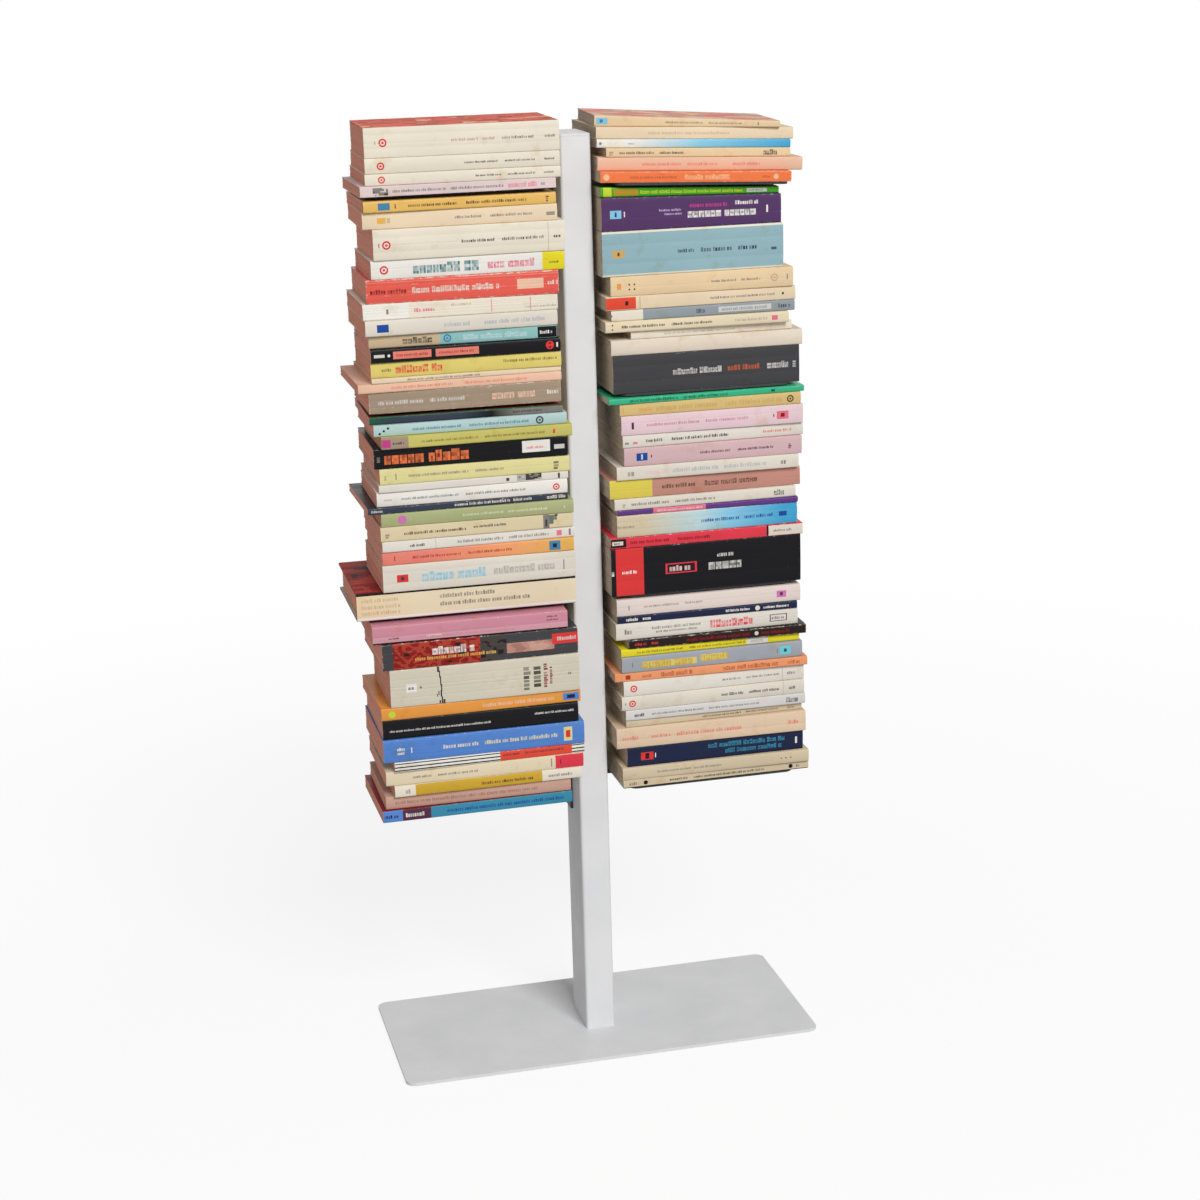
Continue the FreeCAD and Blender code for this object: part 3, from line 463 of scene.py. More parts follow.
             words(147, 180, "soft_grey", 0.26), block(184, 190, "rose", 0.44)),
        book("slate_light", band(0, 57, "cream"), disc(26, "grey", 2),
             title(110, 119, "slate", 0.4), block(132, 185, "pale_grey", 0.5),
             words(135, 183, "slate_light", 0.28), words(192, 205, "slate", 0.36),
             finish="gloss"),
        book("sand_pale", block(18, 50, "tomato", 0.86), tick(41, "maroon", 0.3, wide=3),
             tick(54, "grey", 0.86, wide=0.5), words(124, 190, "grey", 0.18),
             disc(197, "deep_green", 2.4)),
        book("wheat", tick(34, "orange", 0.3, wide=4), disc(44, "brown", 1.8, 0.34),
             disc(49, "brown", 1.8, 0.34), disc(44, "brown", 1.8, 0.58),
             disc(49, "brown", 1.8, 0.58), words(125, 150, "grey", 0.13),
             words(155, 175, "grey", 0.13), ring(188, "soft_tan", 7.5), tick(201, "grey", 0.28),
             creases=1),
        book("steel_pale", stripe(-1, 0.05, "cream"), stripe(0.955, 2, "cream"),
             block(28, 40, "tan", 0.17), tick(34, "brown", 0.08, wide=2),
             words(92, 110, "slate", 0.08), words(115, 148, "slate", 0.1),
             words(152, 172, "slate", 0.1), words(185, 192, "slate", 0.18, upright=True),
             worn=0.7, creases=2),
        book("purple", block(27, 38, "light_blue", 0.24), tick(32.5, "deep_blue", 0.14, wide=2),
             tick(41, "white", 0.16), words(75, 98, "lilac", 0.07, 0.58),
             words(80, 98, "lilac", 0.07, 0.46), words(105, 145, "magenta", 0.13, 0.7),
             words(150, 175, "white", 0.13, 0.74), title(103, 175, "white", 0.26, 0.44),
             tick(182, "white", 0.24, wide=1.8), finish="gloss", worn=0.6, creases=1),
        book("green", band(22, 30, "lime"), block(32, 56, "olive_orange", 0.66),
             title(58, 160, "lime", 0.38), block(163, 183, "pale_grey", 0.5),
             words(165, 181, "green", 0.26), finish="gloss"),
    ),
    "right_4": (
        book("vivid_orange", disc(24, "peach", 6), words(47, 93, "rust", 0.26),
             title(100, 146, "peach", 0.46), disc(190, "peach", 5), words(176, 184, "rust", 0.2),
             finish="gloss", worn=0.9),
        book("pale_salmon", words(62, 100, "salmon", 0.22), words(106, 137, "salmon", 0.22),
             words(150, 178, "salmon", 0.22), worn=0.6),
        book("wheat", words(30, 34, "grey", 0.6, upright=True), words(40, 75, "dark", 0.28),
             words(79, 105, "dark", 0.28), title(182, 197, "black", 0.6)),
        book("white", band(50, 120, "white", to="light_blue"),
             band(120, 230, "light_blue", to="azure"),
             disc(23, "grey", 2.6), words(50, 56, "azure", 0.2), finish="gloss"),
        book("sand_pale", words(70, 150, "soft_tan", 0.24), worn=0.6),
        book("wheat", block(22, 33, "light_blue", 0.6), tick(27, "steel_blue", 0.3, wide=3),
             words(88, 125, "grey", 0.22), words(130, 163, "grey", 0.22), tick(178, "grey", 0.5),
             board="dusty_pink", picture=("rose", "salmon", "dusty_pink", "peach", "pale_pink"),
             worn=0.6),
    ),
}


# ---------------------------------------------------------------------------------------
# Sizes and colours that a user would change
# ---------------------------------------------------------------------------------------

def length_size(name, default, description):
    """A length in metres that the sidebar shows."""
    return FloatProperty(name=name, default=default, description=description, min=0.0,
                         precision=5, subtype="DISTANCE", unit="LENGTH")


def share(name, default, description, top=1.0):
    """A plain factor."""
    return FloatProperty(name=name, default=default, description=description, min=0.0, max=top,
                         subtype="FACTOR")


def paint(name, colour, description):
    """A colour, given as the eye sees it and kept in linear light."""
    return FloatVectorProperty(name=name, default=linear(colour), description=description,
                               size=4, min=0.0, max=1.0, subtype="COLOR")


class StandSettings(bpy.types.PropertyGroup):
    """The steel of the stand."""

    coat: paint("Powder coat", (0.885, 0.886, 0.89), "Colour of the foot plate and the column")
    coat_shade: paint("Coat, thin", (0.855, 0.857, 0.862), "Colour where the coat is thinner")
    coat_roughness: share("Coat roughness", 0.46, "Roughness of the powder coat")
    # Painted shade: the shelves are coated dark so that their edges between the stacks read as the
    # shadow in the gaps.
    tray_coat: paint("Shelf coat", (0.24, 0.24, 0.25), "Colour of the shelves under the books")
    tray_shade: paint("Shelf coat, thin", (0.29, 0.29, 0.30), "The same where it is thinner")
    edge: length_size("Edge", 0.0004, "How far the sheet's edges are broken")
    steel: paint("Fixings", (0.62, 0.62, 0.63), "Colour of the zinc-plated screws")
    rubber: paint("Floor pads", (0.07, 0.07, 0.07), "Colour of the rubber pads")


class BookSettings(bpy.types.PropertyGroup):
    """What all the books share."""

    card: length_size("Cover card", 0.0004, "Thickness of a paperback's cover")
    case_board: length_size("Case board", 0.002, "Thickness of a hardback's boards")
    case_square: length_size("Square", 0.003, "How far a hardback's boards stand over its leaves")
    spine_corner: length_size("Spine corner", 0.0012, "Radius along both edges of a spine")
    spine_rise: length_size("Spine rise", 0.0006, "How far a spine's middle stands out")
    spine_roll: length_size("Spine roll", 0.0009, "How far a read spine can lean over")
    crease_depth: length_size("Crease", 0.00018, "Depth of the creases of a read spine")
    trim: length_size("Trim", 0.0004, "How far the leaves stay back from the cover's edge")
    bundle: length_size("Leaf bundle", 0.0007, "Thickness of the bundles that leaves part into")
    stagger: length_size("Stagger", 0.00022, "How unevenly the leaf bundles lie")
    scuff: paint("Scuffed card", (0.90, 0.865, 0.80), "Colour of the card where print wore off")
    # Painted light: the leaf ends that face left get a colour of their own. On the left stacks it
    # is a painted warm cast of light. On the right stacks, where these ends face the column, it is
    # painted shade.
    left_ends_painted_warm_light: paint("Left leaf ends", (1.0, 0.61, 0.52), "Tinted leaf ends of the left stacks")
    right_ends_painted_shade: paint("Right leaf ends", (0.76, 0.69, 0.62), "Leaf ends of the right stacks")
    seed: IntProperty(name="Seed", default=11, description="Seed of all uneven detail")


class StageSettings(bpy.types.PropertyGroup):
    """Floor, lamps and camera."""

    floor: paint("Floor", (0.98, 0.98, 0.98), "Colour of the studio floor as it is seen")
    bounce: paint("Floor bounce", (0.77, 0.77, 0.77), "Colour that the floor throws back")
    floor_reach: length_size("Floor reach", 100.0, "From the middle of the floor to its edge")
    dome: share("Dome", 0.32, "Strength of the light from all sides", 2.0)
    lamp_power: FloatProperty(name="Lamp", default=560.0, description="Power of the front lamp",
                              min=0.0, unit="POWER")
    lamp_size: length_size("Lamp size", 3.5, "Side of the front lamp")
    lamp_place: FloatVectorProperty(name="Lamp place", default=(1.12, -6.6, 5.6), size=3,
                                    description="Where the lamp stands", subtype="TRANSLATION")
    lamp_target: FloatVectorProperty(name="Lamp target", default=(0.0, 0.0, 0.5), size=3,
                                     description="What it shines at", subtype="TRANSLATION")
    lens: FloatProperty(name="Lens", default=71.258, description="Focal length in millimetres",
                        min=10.0)
    place: FloatVectorProperty(name="Camera", default=(-0.51786, -2.22787, 1.09862), size=3,
                               description="Where the camera stands", subtype="TRANSLATION")
    yaw: FloatProperty(name="Yaw", default=math.radians(-13.547), subtype="ANGLE",
                       description="How far the camera stands round to the side")
    pitch: FloatProperty(name="Pitch", default=math.radians(15.666), subtype="ANGLE",
                         description="How far the camera looks down")
    roll: FloatProperty(name="Roll", default=math.radians(-1.601), subtype="ANGLE",
                        description="How far the camera is tilted")


# ---------------------------------------------------------------------------------------
# Finishes
# ---------------------------------------------------------------------------------------

class Nodes:
    """A node tree under construction, with short ways to add and join its nodes."""

    def __init__(self, tree):
        self.tree = tree
        tree.nodes.clear()

    def give(self, socket, value):
        """Give a socket a value, or link another node's output to it."""
        if isinstance(value, bpy.types.NodeSocket):
            self.tree.links.new(value, socket)
        else:
            socket.default_value = value

    def fill(self, node, **sockets):
        """Give some sockets of a node, by their names, a value or another node's output."""
        for name, value in sockets.items():
            self.give(node.inputs[name.replace("_", " ")], value)

    def add(self, kind, settings=None, **sockets):
        """A node with its settings made and its sockets filled."""
        node = self.tree.nodes.new(kind)
        for name, value in (settings or {}).items():
            setattr(node, name, value)
        self.fill(node, **sockets)
        return node

    def math(self, operation, first, second, held=False):
        """Arithmetic on two values."""
        node = self.add("ShaderNodeMath", {"operation": operation, "use_clamp": held})
        self.give(node.inputs[0], first)
        self.give(node.inputs[1], second)
        return node.outputs[0]

    def mixed(self, factor, first, second):
        """Two shading nodes, mixed."""
        node = self.add("ShaderNodeMixShader", Fac=factor)
        self.give(node.inputs[1], first.outputs[0])
        self.give(node.inputs[2], second.outputs[0])
        return node.outputs[0]


class Finish(Nodes):
    """A material under construction."""

    def __init__(self, name, **sockets):
        self.material = bpy.data.materials.new(name)
        self.material.use_nodes = True
        super().__init__(self.material.node_tree)
        self.shader = self.add("ShaderNodeBsdfPrincipled", **sockets)
        self.output = self.add("ShaderNodeOutputMaterial", Surface=self.shader.outputs[0])

    def surface(self, **sockets):
        """Fill some sockets of the shader."""
        self.fill(self.shader, **sockets)

    def place(self, stretch=(1, 1, 1)):
        """Object coordinates, stretched."""
        where = self.add("ShaderNodeTexCoord")
        return self.add("ShaderNodeMapping", Vector=where.outputs["Object"],
                        Scale=stretch).outputs[0]

    def noise(self, scale, detail=3.0, stretch=(1, 1, 1), roughness=0.55):
        """Noise in object coordinates; scale is in grains to the metre."""
        return self.add("ShaderNodeTexNoise", Vector=self.place(stretch), Scale=scale,
                        Detail=detail, Roughness=roughness).outputs[0]

    def ramp(self, value, low, high, to_low=0.0, to_high=1.0):
        """A value mapped from one range to another and held inside it."""
        node = self.add("ShaderNodeMapRange", Value=value)
        for index, number in enumerate((low, high, to_low, to_high), 1):
            node.inputs[index].default_value = number
        return node.outputs[0]

    def blend(self, factor, first, second, way="MIX"):
        """One colour laid over another."""
        node = self.add("ShaderNodeMix", {"data_type": "RGBA", "blend_type": way})
        for index, value in ((0, factor), (6, first), (7, second)):
            self.give(node.inputs[index], value)
        return node.outputs[2]

    def toned(self, colour, tone):
        """A colour made lighter or darker."""
        return self.add("ShaderNodeHueSaturation", Color=colour, Value=tone).outputs[0]

    def colour_of(self, name):
        """A colour attribute of the mesh."""
        return self.add("ShaderNodeAttribute", {"attribute_name": name}).outputs["Color"]

    def value_of(self, name):
        """A number attribute of the mesh."""
        return self.add("ShaderNodeAttribute", {"attribute_name": name}).outputs["Fac"]

    def relief(self, height, depth, strength):
        """Bump on the shader."""
        bump = self.add("ShaderNodeBump", Height=height, Distance=depth, Strength=strength)
        self.surface(Normal=bump.outputs[0])


def powder_coat(name, coat, shade, roughness):
    """Satin powder coat: slightly uneven, with a fine orange peel."""
    finish = Finish(name, Specular_IOR_Level=0.15)
    cloud = finish.ramp(finish.noise(14.0, 4.0), 0.35, 0.68)
    speck = finish.ramp(finish.noise(900.0, 2.0), 0.66, 0.74, 0.0, 0.35)
    layer = finish.blend(cloud, tuple(coat), tuple(shade))
    handled = finish.ramp(finish.noise(40.0, 3.0), 0.3, 0.7, roughness - 0.05, roughness + 0.07)
    finish.surface(Base_Color=finish.blend(speck, layer, linear((0.8, 0.8, 0.8)), "MULTIPLY"),
                   Roughness=handled)
    finish.relief(finish.noise(650.0, 2.0), 0.00006, 0.35)
    return finish.material


def plated_steel(settings):
    """Zinc-plated steel with turning marks."""
    finish = Finish("plated_steel", Metallic=1.0)
    grain = finish.noise(1400.0, 2.0, (0.15, 1, 1))
    turned, dull = finish.ramp(grain, 0.3, 0.7), linear((0.50, 0.50, 0.52))
    finish.surface(Base_Color=finish.blend(turned, tuple(settings.steel), dull),
                   Roughness=finish.ramp(grain, 0.3, 0.7, 0.28, 0.42))
    finish.relief(grain, 0.00003, 0.4)
    return finish.material


def black_rubber(settings):
    """Matt rubber with a little dust."""
    finish = Finish("floor_pad_rubber")
    dust = finish.ramp(finish.noise(260.0, 4.0), 0.5, 0.75)
    dusty = linear((0.16, 0.155, 0.15))
    finish.surface(Base_Color=finish.blend(dust, tuple(settings.rubber), dusty),
                   Roughness=finish.ramp(dust, 0.0, 1.0, 0.72, 0.9))
    finish.relief(finish.noise(2200.0, 2.0), 0.00005, 0.5)
    return finish.material


def printed_card(settings, name, glossy):
    """A printed cover that has aged and is rubbed through along its edges and creases."""
    finish = Finish(name, Roughness=0.6, Specular_IOR_Level=0.13)
    age = finish.ramp(finish.noise(26.0, 5.0, (0.5, 1, 1)), 0.28, 0.72, 0.93, 1.03)
    aged = finish.toned(finish.colour_of("ink"), age)
    stain = finish.ramp(finish.noise(60.0, 4.0), 0.58, 0.74, 0.0, 0.7)
    aged = finish.blend(stain, aged, linear((0.95, 0.91, 0.84)), "MULTIPLY")
    patchy = finish.ramp(finish.noise(520.0, 5.0, (0.4, 1, 1), 0.7), 0.32, 0.70, -1.15, -0.12)
    rubbed = finish.math("ADD", finish.value_of("worn"), patchy)
    scuffed = finish.math("MULTIPLY", rubbed, 3.0, held=True)
    fleck = finish.ramp(finish.noise(1300.0, 2.0, (0.6, 1, 1)), 0.73, 0.77, 0.0, 0.4)
    flecked = finish.math("MULTIPLY", fleck, finish.ramp(finish.noise(34.0, 2.0), 0.54, 0.64))
    bare = finish.math("MAXIMUM", scuffed, flecked)
    finish.surface(Base_Color=finish.blend(finish.math("MULTIPLY", bare, 0.75), aged,
                                           tuple(settings.scuff)))
    if glossy:
        handled = finish.ramp(finish.noise(75.0, 4.0), 0.35, 0.7, 0.3, 0.44)
        finish.surface(Roughness=finish.math("ADD", handled, finish.math("MULTIPLY", bare, 0.35)),
                       Coat_Weight=0.04, Coat_Roughness=0.25)
    grain = finish.noise(500.0, 3.0) if glossy else finish.noise(2600.0, 2.0)
    height = finish.math("SUBTRACT", finish.math("MULTIPLY", grain, 0.35),
                         finish.math("MULTIPLY", bare, 0.6))
    finish.relief(height, 0.00012, 0.5)
    return finish.material


def leaf_edges(settings, side):
    """Trimmed leaves seen on edge, browned with age, with painted light on their left-facing ends.
    """
    finish = Finish(f"leaf_edges_{side}", Roughness=0.86)
    lines = finish.noise(1.0, 2.0, (6, 6, 3800), 0.7)
    tone = finish.ramp(lines, 0.3, 0.7, 0.80, 1.06)
    leaves = finish.toned(finish.colour_of("paper"), tone)
    foxed = finish.ramp(finish.noise(38.0, 5.0), 0.5, 0.72, 0.0, 0.22)
    leaves = finish.blend(foxed, leaves, linear((0.72, 0.61, 0.45)))
    # Painted light: faces that turn to the left, the leaf ends, take their own colour instead of
    # the paper's. This is a warm cast of light on the left stacks and shade on the right stacks,
    # where these ends face the column.
    facing = finish.add("ShaderNodeNewGeometry").outputs["Normal"]
    facing_right = finish.add("ShaderNodeSeparateXYZ", Vector=facing).outputs[0]
    painted_light_on_ends = finish.ramp(facing_right, -0.55, -0.8, 0.0, 0.86)
    painted_end_light = settings.left_ends_painted_warm_light if side == "left" else settings.right_ends_painted_shade
    ends = finish.toned(tuple(painted_end_light), tone)
    finish.surface(Base_Color=finish.blend(painted_light_on_ends, leaves, ends))
    finish.relief(lines, 0.0003, 0.7)
    return finish.material


# ---------------------------------------------------------------------------------------
# Stand
# ---------------------------------------------------------------------------------------

def link_piece(piece, body, slot, *nodes):
    """Put a finished piece in the scene, on its body and in place of its CAD nodes."""
    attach(piece, body)
    if nodes:
        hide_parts(*nodes)


def settled(piece):
    """The piece with its modifiers applied to its mesh."""
    bpy.context.view_layer.update()
    graph = bpy.context.evaluated_depsgraph_get()
    mesh = bpy.data.meshes.new_from_object(piece.evaluated_get(graph))
    piece.modifiers.clear()
    piece.data = mesh
    mesh.name = piece.name
    return piece


# A CAD piece comes as loose triangles: how near two points are one, how far a face may be out
# of flat, and from which angle an edge gets broken
SAME_PLACE = 1e-6
STILL_FLAT = math.radians(0.5)
SHARP_SHEET = math.radians(40)


def broken_edges(node, name, width, finish):
    """A copy of a CAD piece whose sharp edges are broken, as on deburred sheet."""
    bm = bmesh.new()
    bm.from_mesh(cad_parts[node].data)
    bmesh.ops.remove_doubles(bm, verts=bm.verts, dist=SAME_PLACE)
    bmesh.ops.dissolve_limit(bm, angle_limit=STILL_FLAT, verts=bm.verts, edges=bm.edges)
    mesh = bpy.data.meshes.new(name)
    bm.to_mesh(mesh)
    bm.free()
    for attribute in [a for a in mesh.attributes if a.name == "custom_normal"]:
        mesh.attributes.remove(attribute)
    mesh.materials.clear()
    mesh.materials.append(finish)
    for polygon in mesh.polygons:
        polygon.material_index = 0
        polygon.use_smooth = True
    piece = bpy.data.objects.new(name, mesh)
    bpy.context.scene.collection.objects.link(piece)
    bevel = piece.modifiers.new("broken edge", "BEVEL")
    bevel.width = width
    bevel.segments = 2
    bevel.limit_method = "ANGLE"
    bevel.angle_limit = SHARP_SHEET
    bevel.harden_normals = True
    return settled(piece)


class BOOKSHELF_OT_stand(bpy.types.Operator):
    """Make the powder-coated foot plate, column, cap and shelves"""

    bl_idname = "bookshelf.stand"
    bl_label = "Stand"

    def execute(self, context):
        settings = context.scene.bookshelf_stand
        frame_coat = powder_coat("powder_coat_frame", settings.coat, settings.coat_shade,
                                 settings.coat_roughness)
        # Painted shade: the shelves get a dark coat that stands in for the shadow in the gaps
        # between the stacks.
        shelf_coat_painted_shade = powder_coat("powder_coat_shelves_painted_shade", settings.tray_coat, settings.tray_shade,
                                 settings.coat_roughness)
        names = {"base_plate": "foot_plate", "column": "post", "column_cap": "post_cap"}
        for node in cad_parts:
            if node.startswith("shelf_") and "screw" not in node:
                names[node] = node.replace("shelf_", "tray_")
        for node, name in names.items():
            finish = shelf_coat_painted_shade if name.startswith("tray") else frame_coat
            piece = broken_edges(node, name, settings.edge, finish)
            link_piece(piece, "stand", "powder_coat", node)
        return {"FINISHED"}


class BOOKSHELF_OT_fixings(bpy.types.Operator):
    """Give the screws, sleeves and foot block their steel and the pads their rubber"""

    bl_idname = "bookshelf.fixings"
    bl_label = "Fixings and floor pads"

    def execute(self, context):
        settings = context.scene.bookshelf_stand
        steel, rubber = plated_steel(settings), black_rubber(settings)
        for name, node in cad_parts.items():
            if "screw" in name or "sleeve" in name or name == "foot_block":
                node.material_slots[0].material = steel
            elif name.startswith("floor_pad"):
                node.material_slots[0].material = rubber
        return {"FINISHED"}


# ---------------------------------------------------------------------------------------
# Books
# ---------------------------------------------------------------------------------------

FACES_OF_A_BOOK = 12

# How the spines differ.  A cased book's is rounder.  One that is thinner than these thicknesses
# is flatter and leans less.  The lowest of a stack is the flattest, to hide the shelf.
CASED_CORNER, CASED_RISE = 2.2, 3
FULL_RISE_FROM, FULL_ROLL_FROM = 0.014, 0.016
LOWEST_CORNER, LOWEST_RISE = 0.6, 0.2

# Wear, in metres: how wide a crease is rubbed and how wide it folds, how far in from the ends
# a cover is rubbed, and how deep, long and tall the dents in its corners are.
CREASE_RUBBED, CREASE_WIDE = 0.0006, 0.0005
SPINE_END_RUBBED, BOARD_END_RUBBED, FORE_EDGE_RUBBED = 0.0022, 0.002, 0.001
DENT_DEEP, DENT_LONG, DENT_TALL = 0.0011, 0.004, 0.0035

# Bold type, as shares of a letter's width and as the least and most ink: of a corner cell, of
# a cell in the middle of a side, and of the middle one.
BOLD_COLUMNS = (0, 0.32, 0.68, 1.0)
BOLD_COVERS = ((0.5, 1.0), (0.25, 1.0), (0.1, 0.75))

# Cells of a cloudy field on a spine, and the grain in millimetres of a picture on a board
CLOUD_WIDE, CLOUD_TALL = 1.8 * MM, 1.1 * MM
PICTURE_GRAIN = 34.0

# Lines of a cover's mesh: from each end, as shares of its length and depth, how many on a
# board with a picture, and how near two lines may come to each other
END_LINES = (0.0, 0.0008, 0.002, 0.005, 0.012)
LENGTH_SHARES = (0.2, 0.35, 0.5, 0.65, 0.8)
DEPTH_SHARES, FORE_EDGE_LINE = (0.3, 0.55, 0.8), 0.003
PICTURE_COLUMNS, PICTURE_ROWS = 40, 26
APART_ALONG, APART_IN_PRINT, APART_UP, APART_INWARDS = 0.0004, 0.00006, 0.00008, 0.0008
PRINT_FROM_LINE = 0.00012

# The hinge of a board behind the spine's inner edge, and the groove along it
HINGE = 0.0035
GROOVE_WIDE, GROOVE_DEEP = 0.0012, 0.00012

# The leaves' gap behind the spine, in its middle and all along it, and how hollow their fore
# edge lies
MIDDLE_GAP, SPINE_GAP, FORE_EDGE_HOLLOW = 0.0003, 0.0002, 0.0006

SHARP_CARD = math.radians(48)


def book_corners(stack):
    """Eight corners of each book of a stack, as [left/right][front/back][bottom/top]."""
    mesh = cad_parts[f"books_{stack}"].data
    points = np.array([vertex.co for vertex in mesh.vertices])
    faces = np.array([polygon.vertices for polygon in mesh.polygons])
    books = []
    for first in range(0, len(faces), FACES_OF_A_BOOK):
        cloud = points[faces[first:first + FACES_OF_A_BOOK].ravel()]
        unique = np.unique(np.round(cloud, 6), axis=0)
        if len(unique) != 8:
            raise RuntimeError(f"a book of stack {stack} has {len(unique)} corners")
        middle = unique.mean(axis=0)
        corners = np.zeros((2, 2, 2, 3))
        for side in (0, 1):
            for end in (0, 1):
                pair = [p for p in unique
                        if (p[0] > middle[0]) == bool(side) and (p[1] > middle[1]) == bool(end)]
                corners[side, end] = sorted(pair, key=lambda p: p[2])
        books.append(corners)
    return sorted(books, key=lambda c: c[:, :, 0, 2].mean())


class Book:
    """The space of one book: along its spine, in from its spine, and up from its board.

    The lowest book of a stack keeps its lower edge forward, so that it hides the shelf.
    """

    def __init__(self, corners, look, settings, seed, lowest):
        self.corners = corners
        self.look = look
        self.rng = random.Random(seed)
        self.long = np.linalg.norm(corners[1, 0, 0] - corners[0, 0, 0])
        self.deep = np.linalg.norm(corners[0, 1, 0] - corners[0, 0, 0])
        self.thick = np.linalg.norm(corners[:, :, 1] - corners[:, :, 0], axis=2).mean()
        self.left = corners[0, 0, 0, 0]
        cased = look["cased"]
        self.card = settings.case_board if cased else settings.card
        self.corner = min(settings.spine_corner * (CASED_CORNER if cased else 1),
                          self.thick * 0.24)
        rise = settings.spine_rise * self.rng.uniform(0.5, 1.2)
        self.rise = rise * min(1, self.thick / FULL_RISE_FROM)
        if cased:
            self.rise = settings.spine_rise * CASED_RISE
        roll = self.rng.uniform(-1, 1) * settings.spine_roll
        self.roll = roll * min(1, self.thick / FULL_ROLL_FROM)
        if lowest:
            self.corner *= LOWEST_CORNER
            self.rise *= LOWEST_RISE
            self.roll = abs(self.roll)
        self.creases = self.crease_heights()
        self.crease_depth = settings.crease_depth

    def crease_heights(self):
        """Where a read spine has folded."""
        count = self.look["creases"]
        room = 0.64 * self.thick
        return [0.18 * self.thick + room * (index + self.rng.uniform(0.25, 0.75)) / count
                for index in range(count)]

    def place(self, points):
        """World places of points given as (along, in, up), in metres."""
        points = np.asarray(points, float)
        share = points / (self.long, self.deep, self.thick)
        where = np.zeros((len(points), 3))
        for side in (0, 1):
            for end in (0, 1):
                for top in (0, 1):
                    weight = np.ones(len(points))
                    for axis, pick in enumerate((side, end, top)):
                        weight *= share[:, axis] if pick else 1 - share[:, axis]
                    where += weight[:, None] * self.corners[side, end, top]
        return where

    def spine_depth(self, up):
        """How far the spine lies behind its foremost line at one height."""
        share = up / self.thick
        depth = self.rise * (2 * share - 1) ** 2
        depth += self.roll * share if self.roll > 0 else -self.roll * (1 - share)
        edge = min(up, self.thick - up)
        if edge < self.corner:
            depth += self.corner - math.sqrt(max(0.0, self.corner ** 2 - (self.corner - edge) ** 2))
        for crease in self.creases:
            depth += self.crease_depth * math.exp(-((up - crease) / CREASE_WIDE) ** 2)
        return depth


def strokes(start, end, low, high, bold, rng):
    """Blurred, meaningless type in word-long groups, as (start, end, low, high, ink cover)."""
    tall = high - low
    letter = tall * (0.66 if bold else 0.62)
    at = start
    drawn = []
    while at + 0.5 * letter < end:
        for _ in range(rng.randint(3, 9)):
            wide = letter * rng.uniform(0.75, 1.15)
            if at + wide > end:
                break
            top = high if rng.random() < 0.3 else high - 0.22 * tall
            if bold:
                for column in range(3):
                    left, right = (at + wide * edge for edge in BOLD_COLUMNS[column:column + 2])
                    for row in range(3):
                        cover = rng.uniform(*BOLD_COVERS[(column == 1) + (row == 1)])
                        drawn.append((left, right, low + (top - low) * row / 3,
                                      low + (top - low) * (row + 1) / 3, cover))
                at += wide + 0.13 * letter
            else:
                drawn.append((at, at + 0.76 * wide, low, top, rng.uniform(0.55, 1.0)))
                at += wide
        at += 0.55 * letter
    return drawn


def motif(inks, along, across, grain):
    """The ink of a cloudy field at one place: slanting clouds, with finer ones in them."""
    cloud = noise.noise(Vector((along + 0.7 * across, 1.6 * across - 0.4 * along, 0.0)) / grain)
    cloud += 0.5 * noise.noise(Vector((along, across, grain)) * 2.3 / grain)
    level = int((0.5 + 0.62 * cloud) * len(inks))
    return inks[min(len(inks) - 1, max(0, level))]


def printed_areas(book):
    """The print of a spine as (start, end, low, high, first ink, last ink), in metres."""
    areas = []
    thick = book.thick

    def add(start, end, low, high, first, last, cover=1.0):
        """Add an area, as far as it lies on the spine."""
        start = min(max(start - book.left, 0.0), book.long)
        end = min(max(end - book.left, 0.0), book.long)
        low, high = min(max(low, 0.0), thick), min(max(high, 0.0), thick)
        if end - start > 1e-5 and high - low > 1e-5:
            inks = [(*linear(INKS[ink])[:3], cover) for ink in (first, last)]
            areas.append((start, end, low, high, *inks))

    for kind, *mark in book.look["marks"]:
        if kind == "round":
            continue
        start, end = mark[0] * MM, mark[1] * MM
        if kind == "area":
            first, last, low, high = mark[2:]
            add(start, end, low * thick, high * thick, first, last)
        elif kind == "words":
            ink, tall, at, bold, upright = mark[2:]
            low, high = (at - tall / 2) * thick, (at + tall / 2) * thick
            line = (low, high, start, end) if upright else (start, end, low, high)
            for *stroke, cover in strokes(*line, bold, book.rng):
                place = stroke[2:] + stroke[:2] if upright else stroke
                add(*place, ink, ink, cover)
        else:
            inks, grain, low, high = mark[2:]
            columns = math.ceil((end - start) / CLOUD_WIDE)
            rows = math.ceil((high - low) * thick / CLOUD_TALL)
            wide, tall = (end - start) / columns, (high - low) * thick / rows
            for column in range(columns):
                for row in range(rows):
                    x, z = start + column * wide, low * thick + row * tall
                    ink = motif(inks, x / MM, z / MM, grain)
                    add(x, x + wide, z, z + tall, ink, ink)
    return areas


def lines_at(values, step):
    """Sorted grid lines, none nearer to the next than a step."""
    kept = []
    for value in sorted(values):
        if not kept or value - kept[-1] > step:
            kept.append(value)
    kept[-1] = max(values)
    return kept


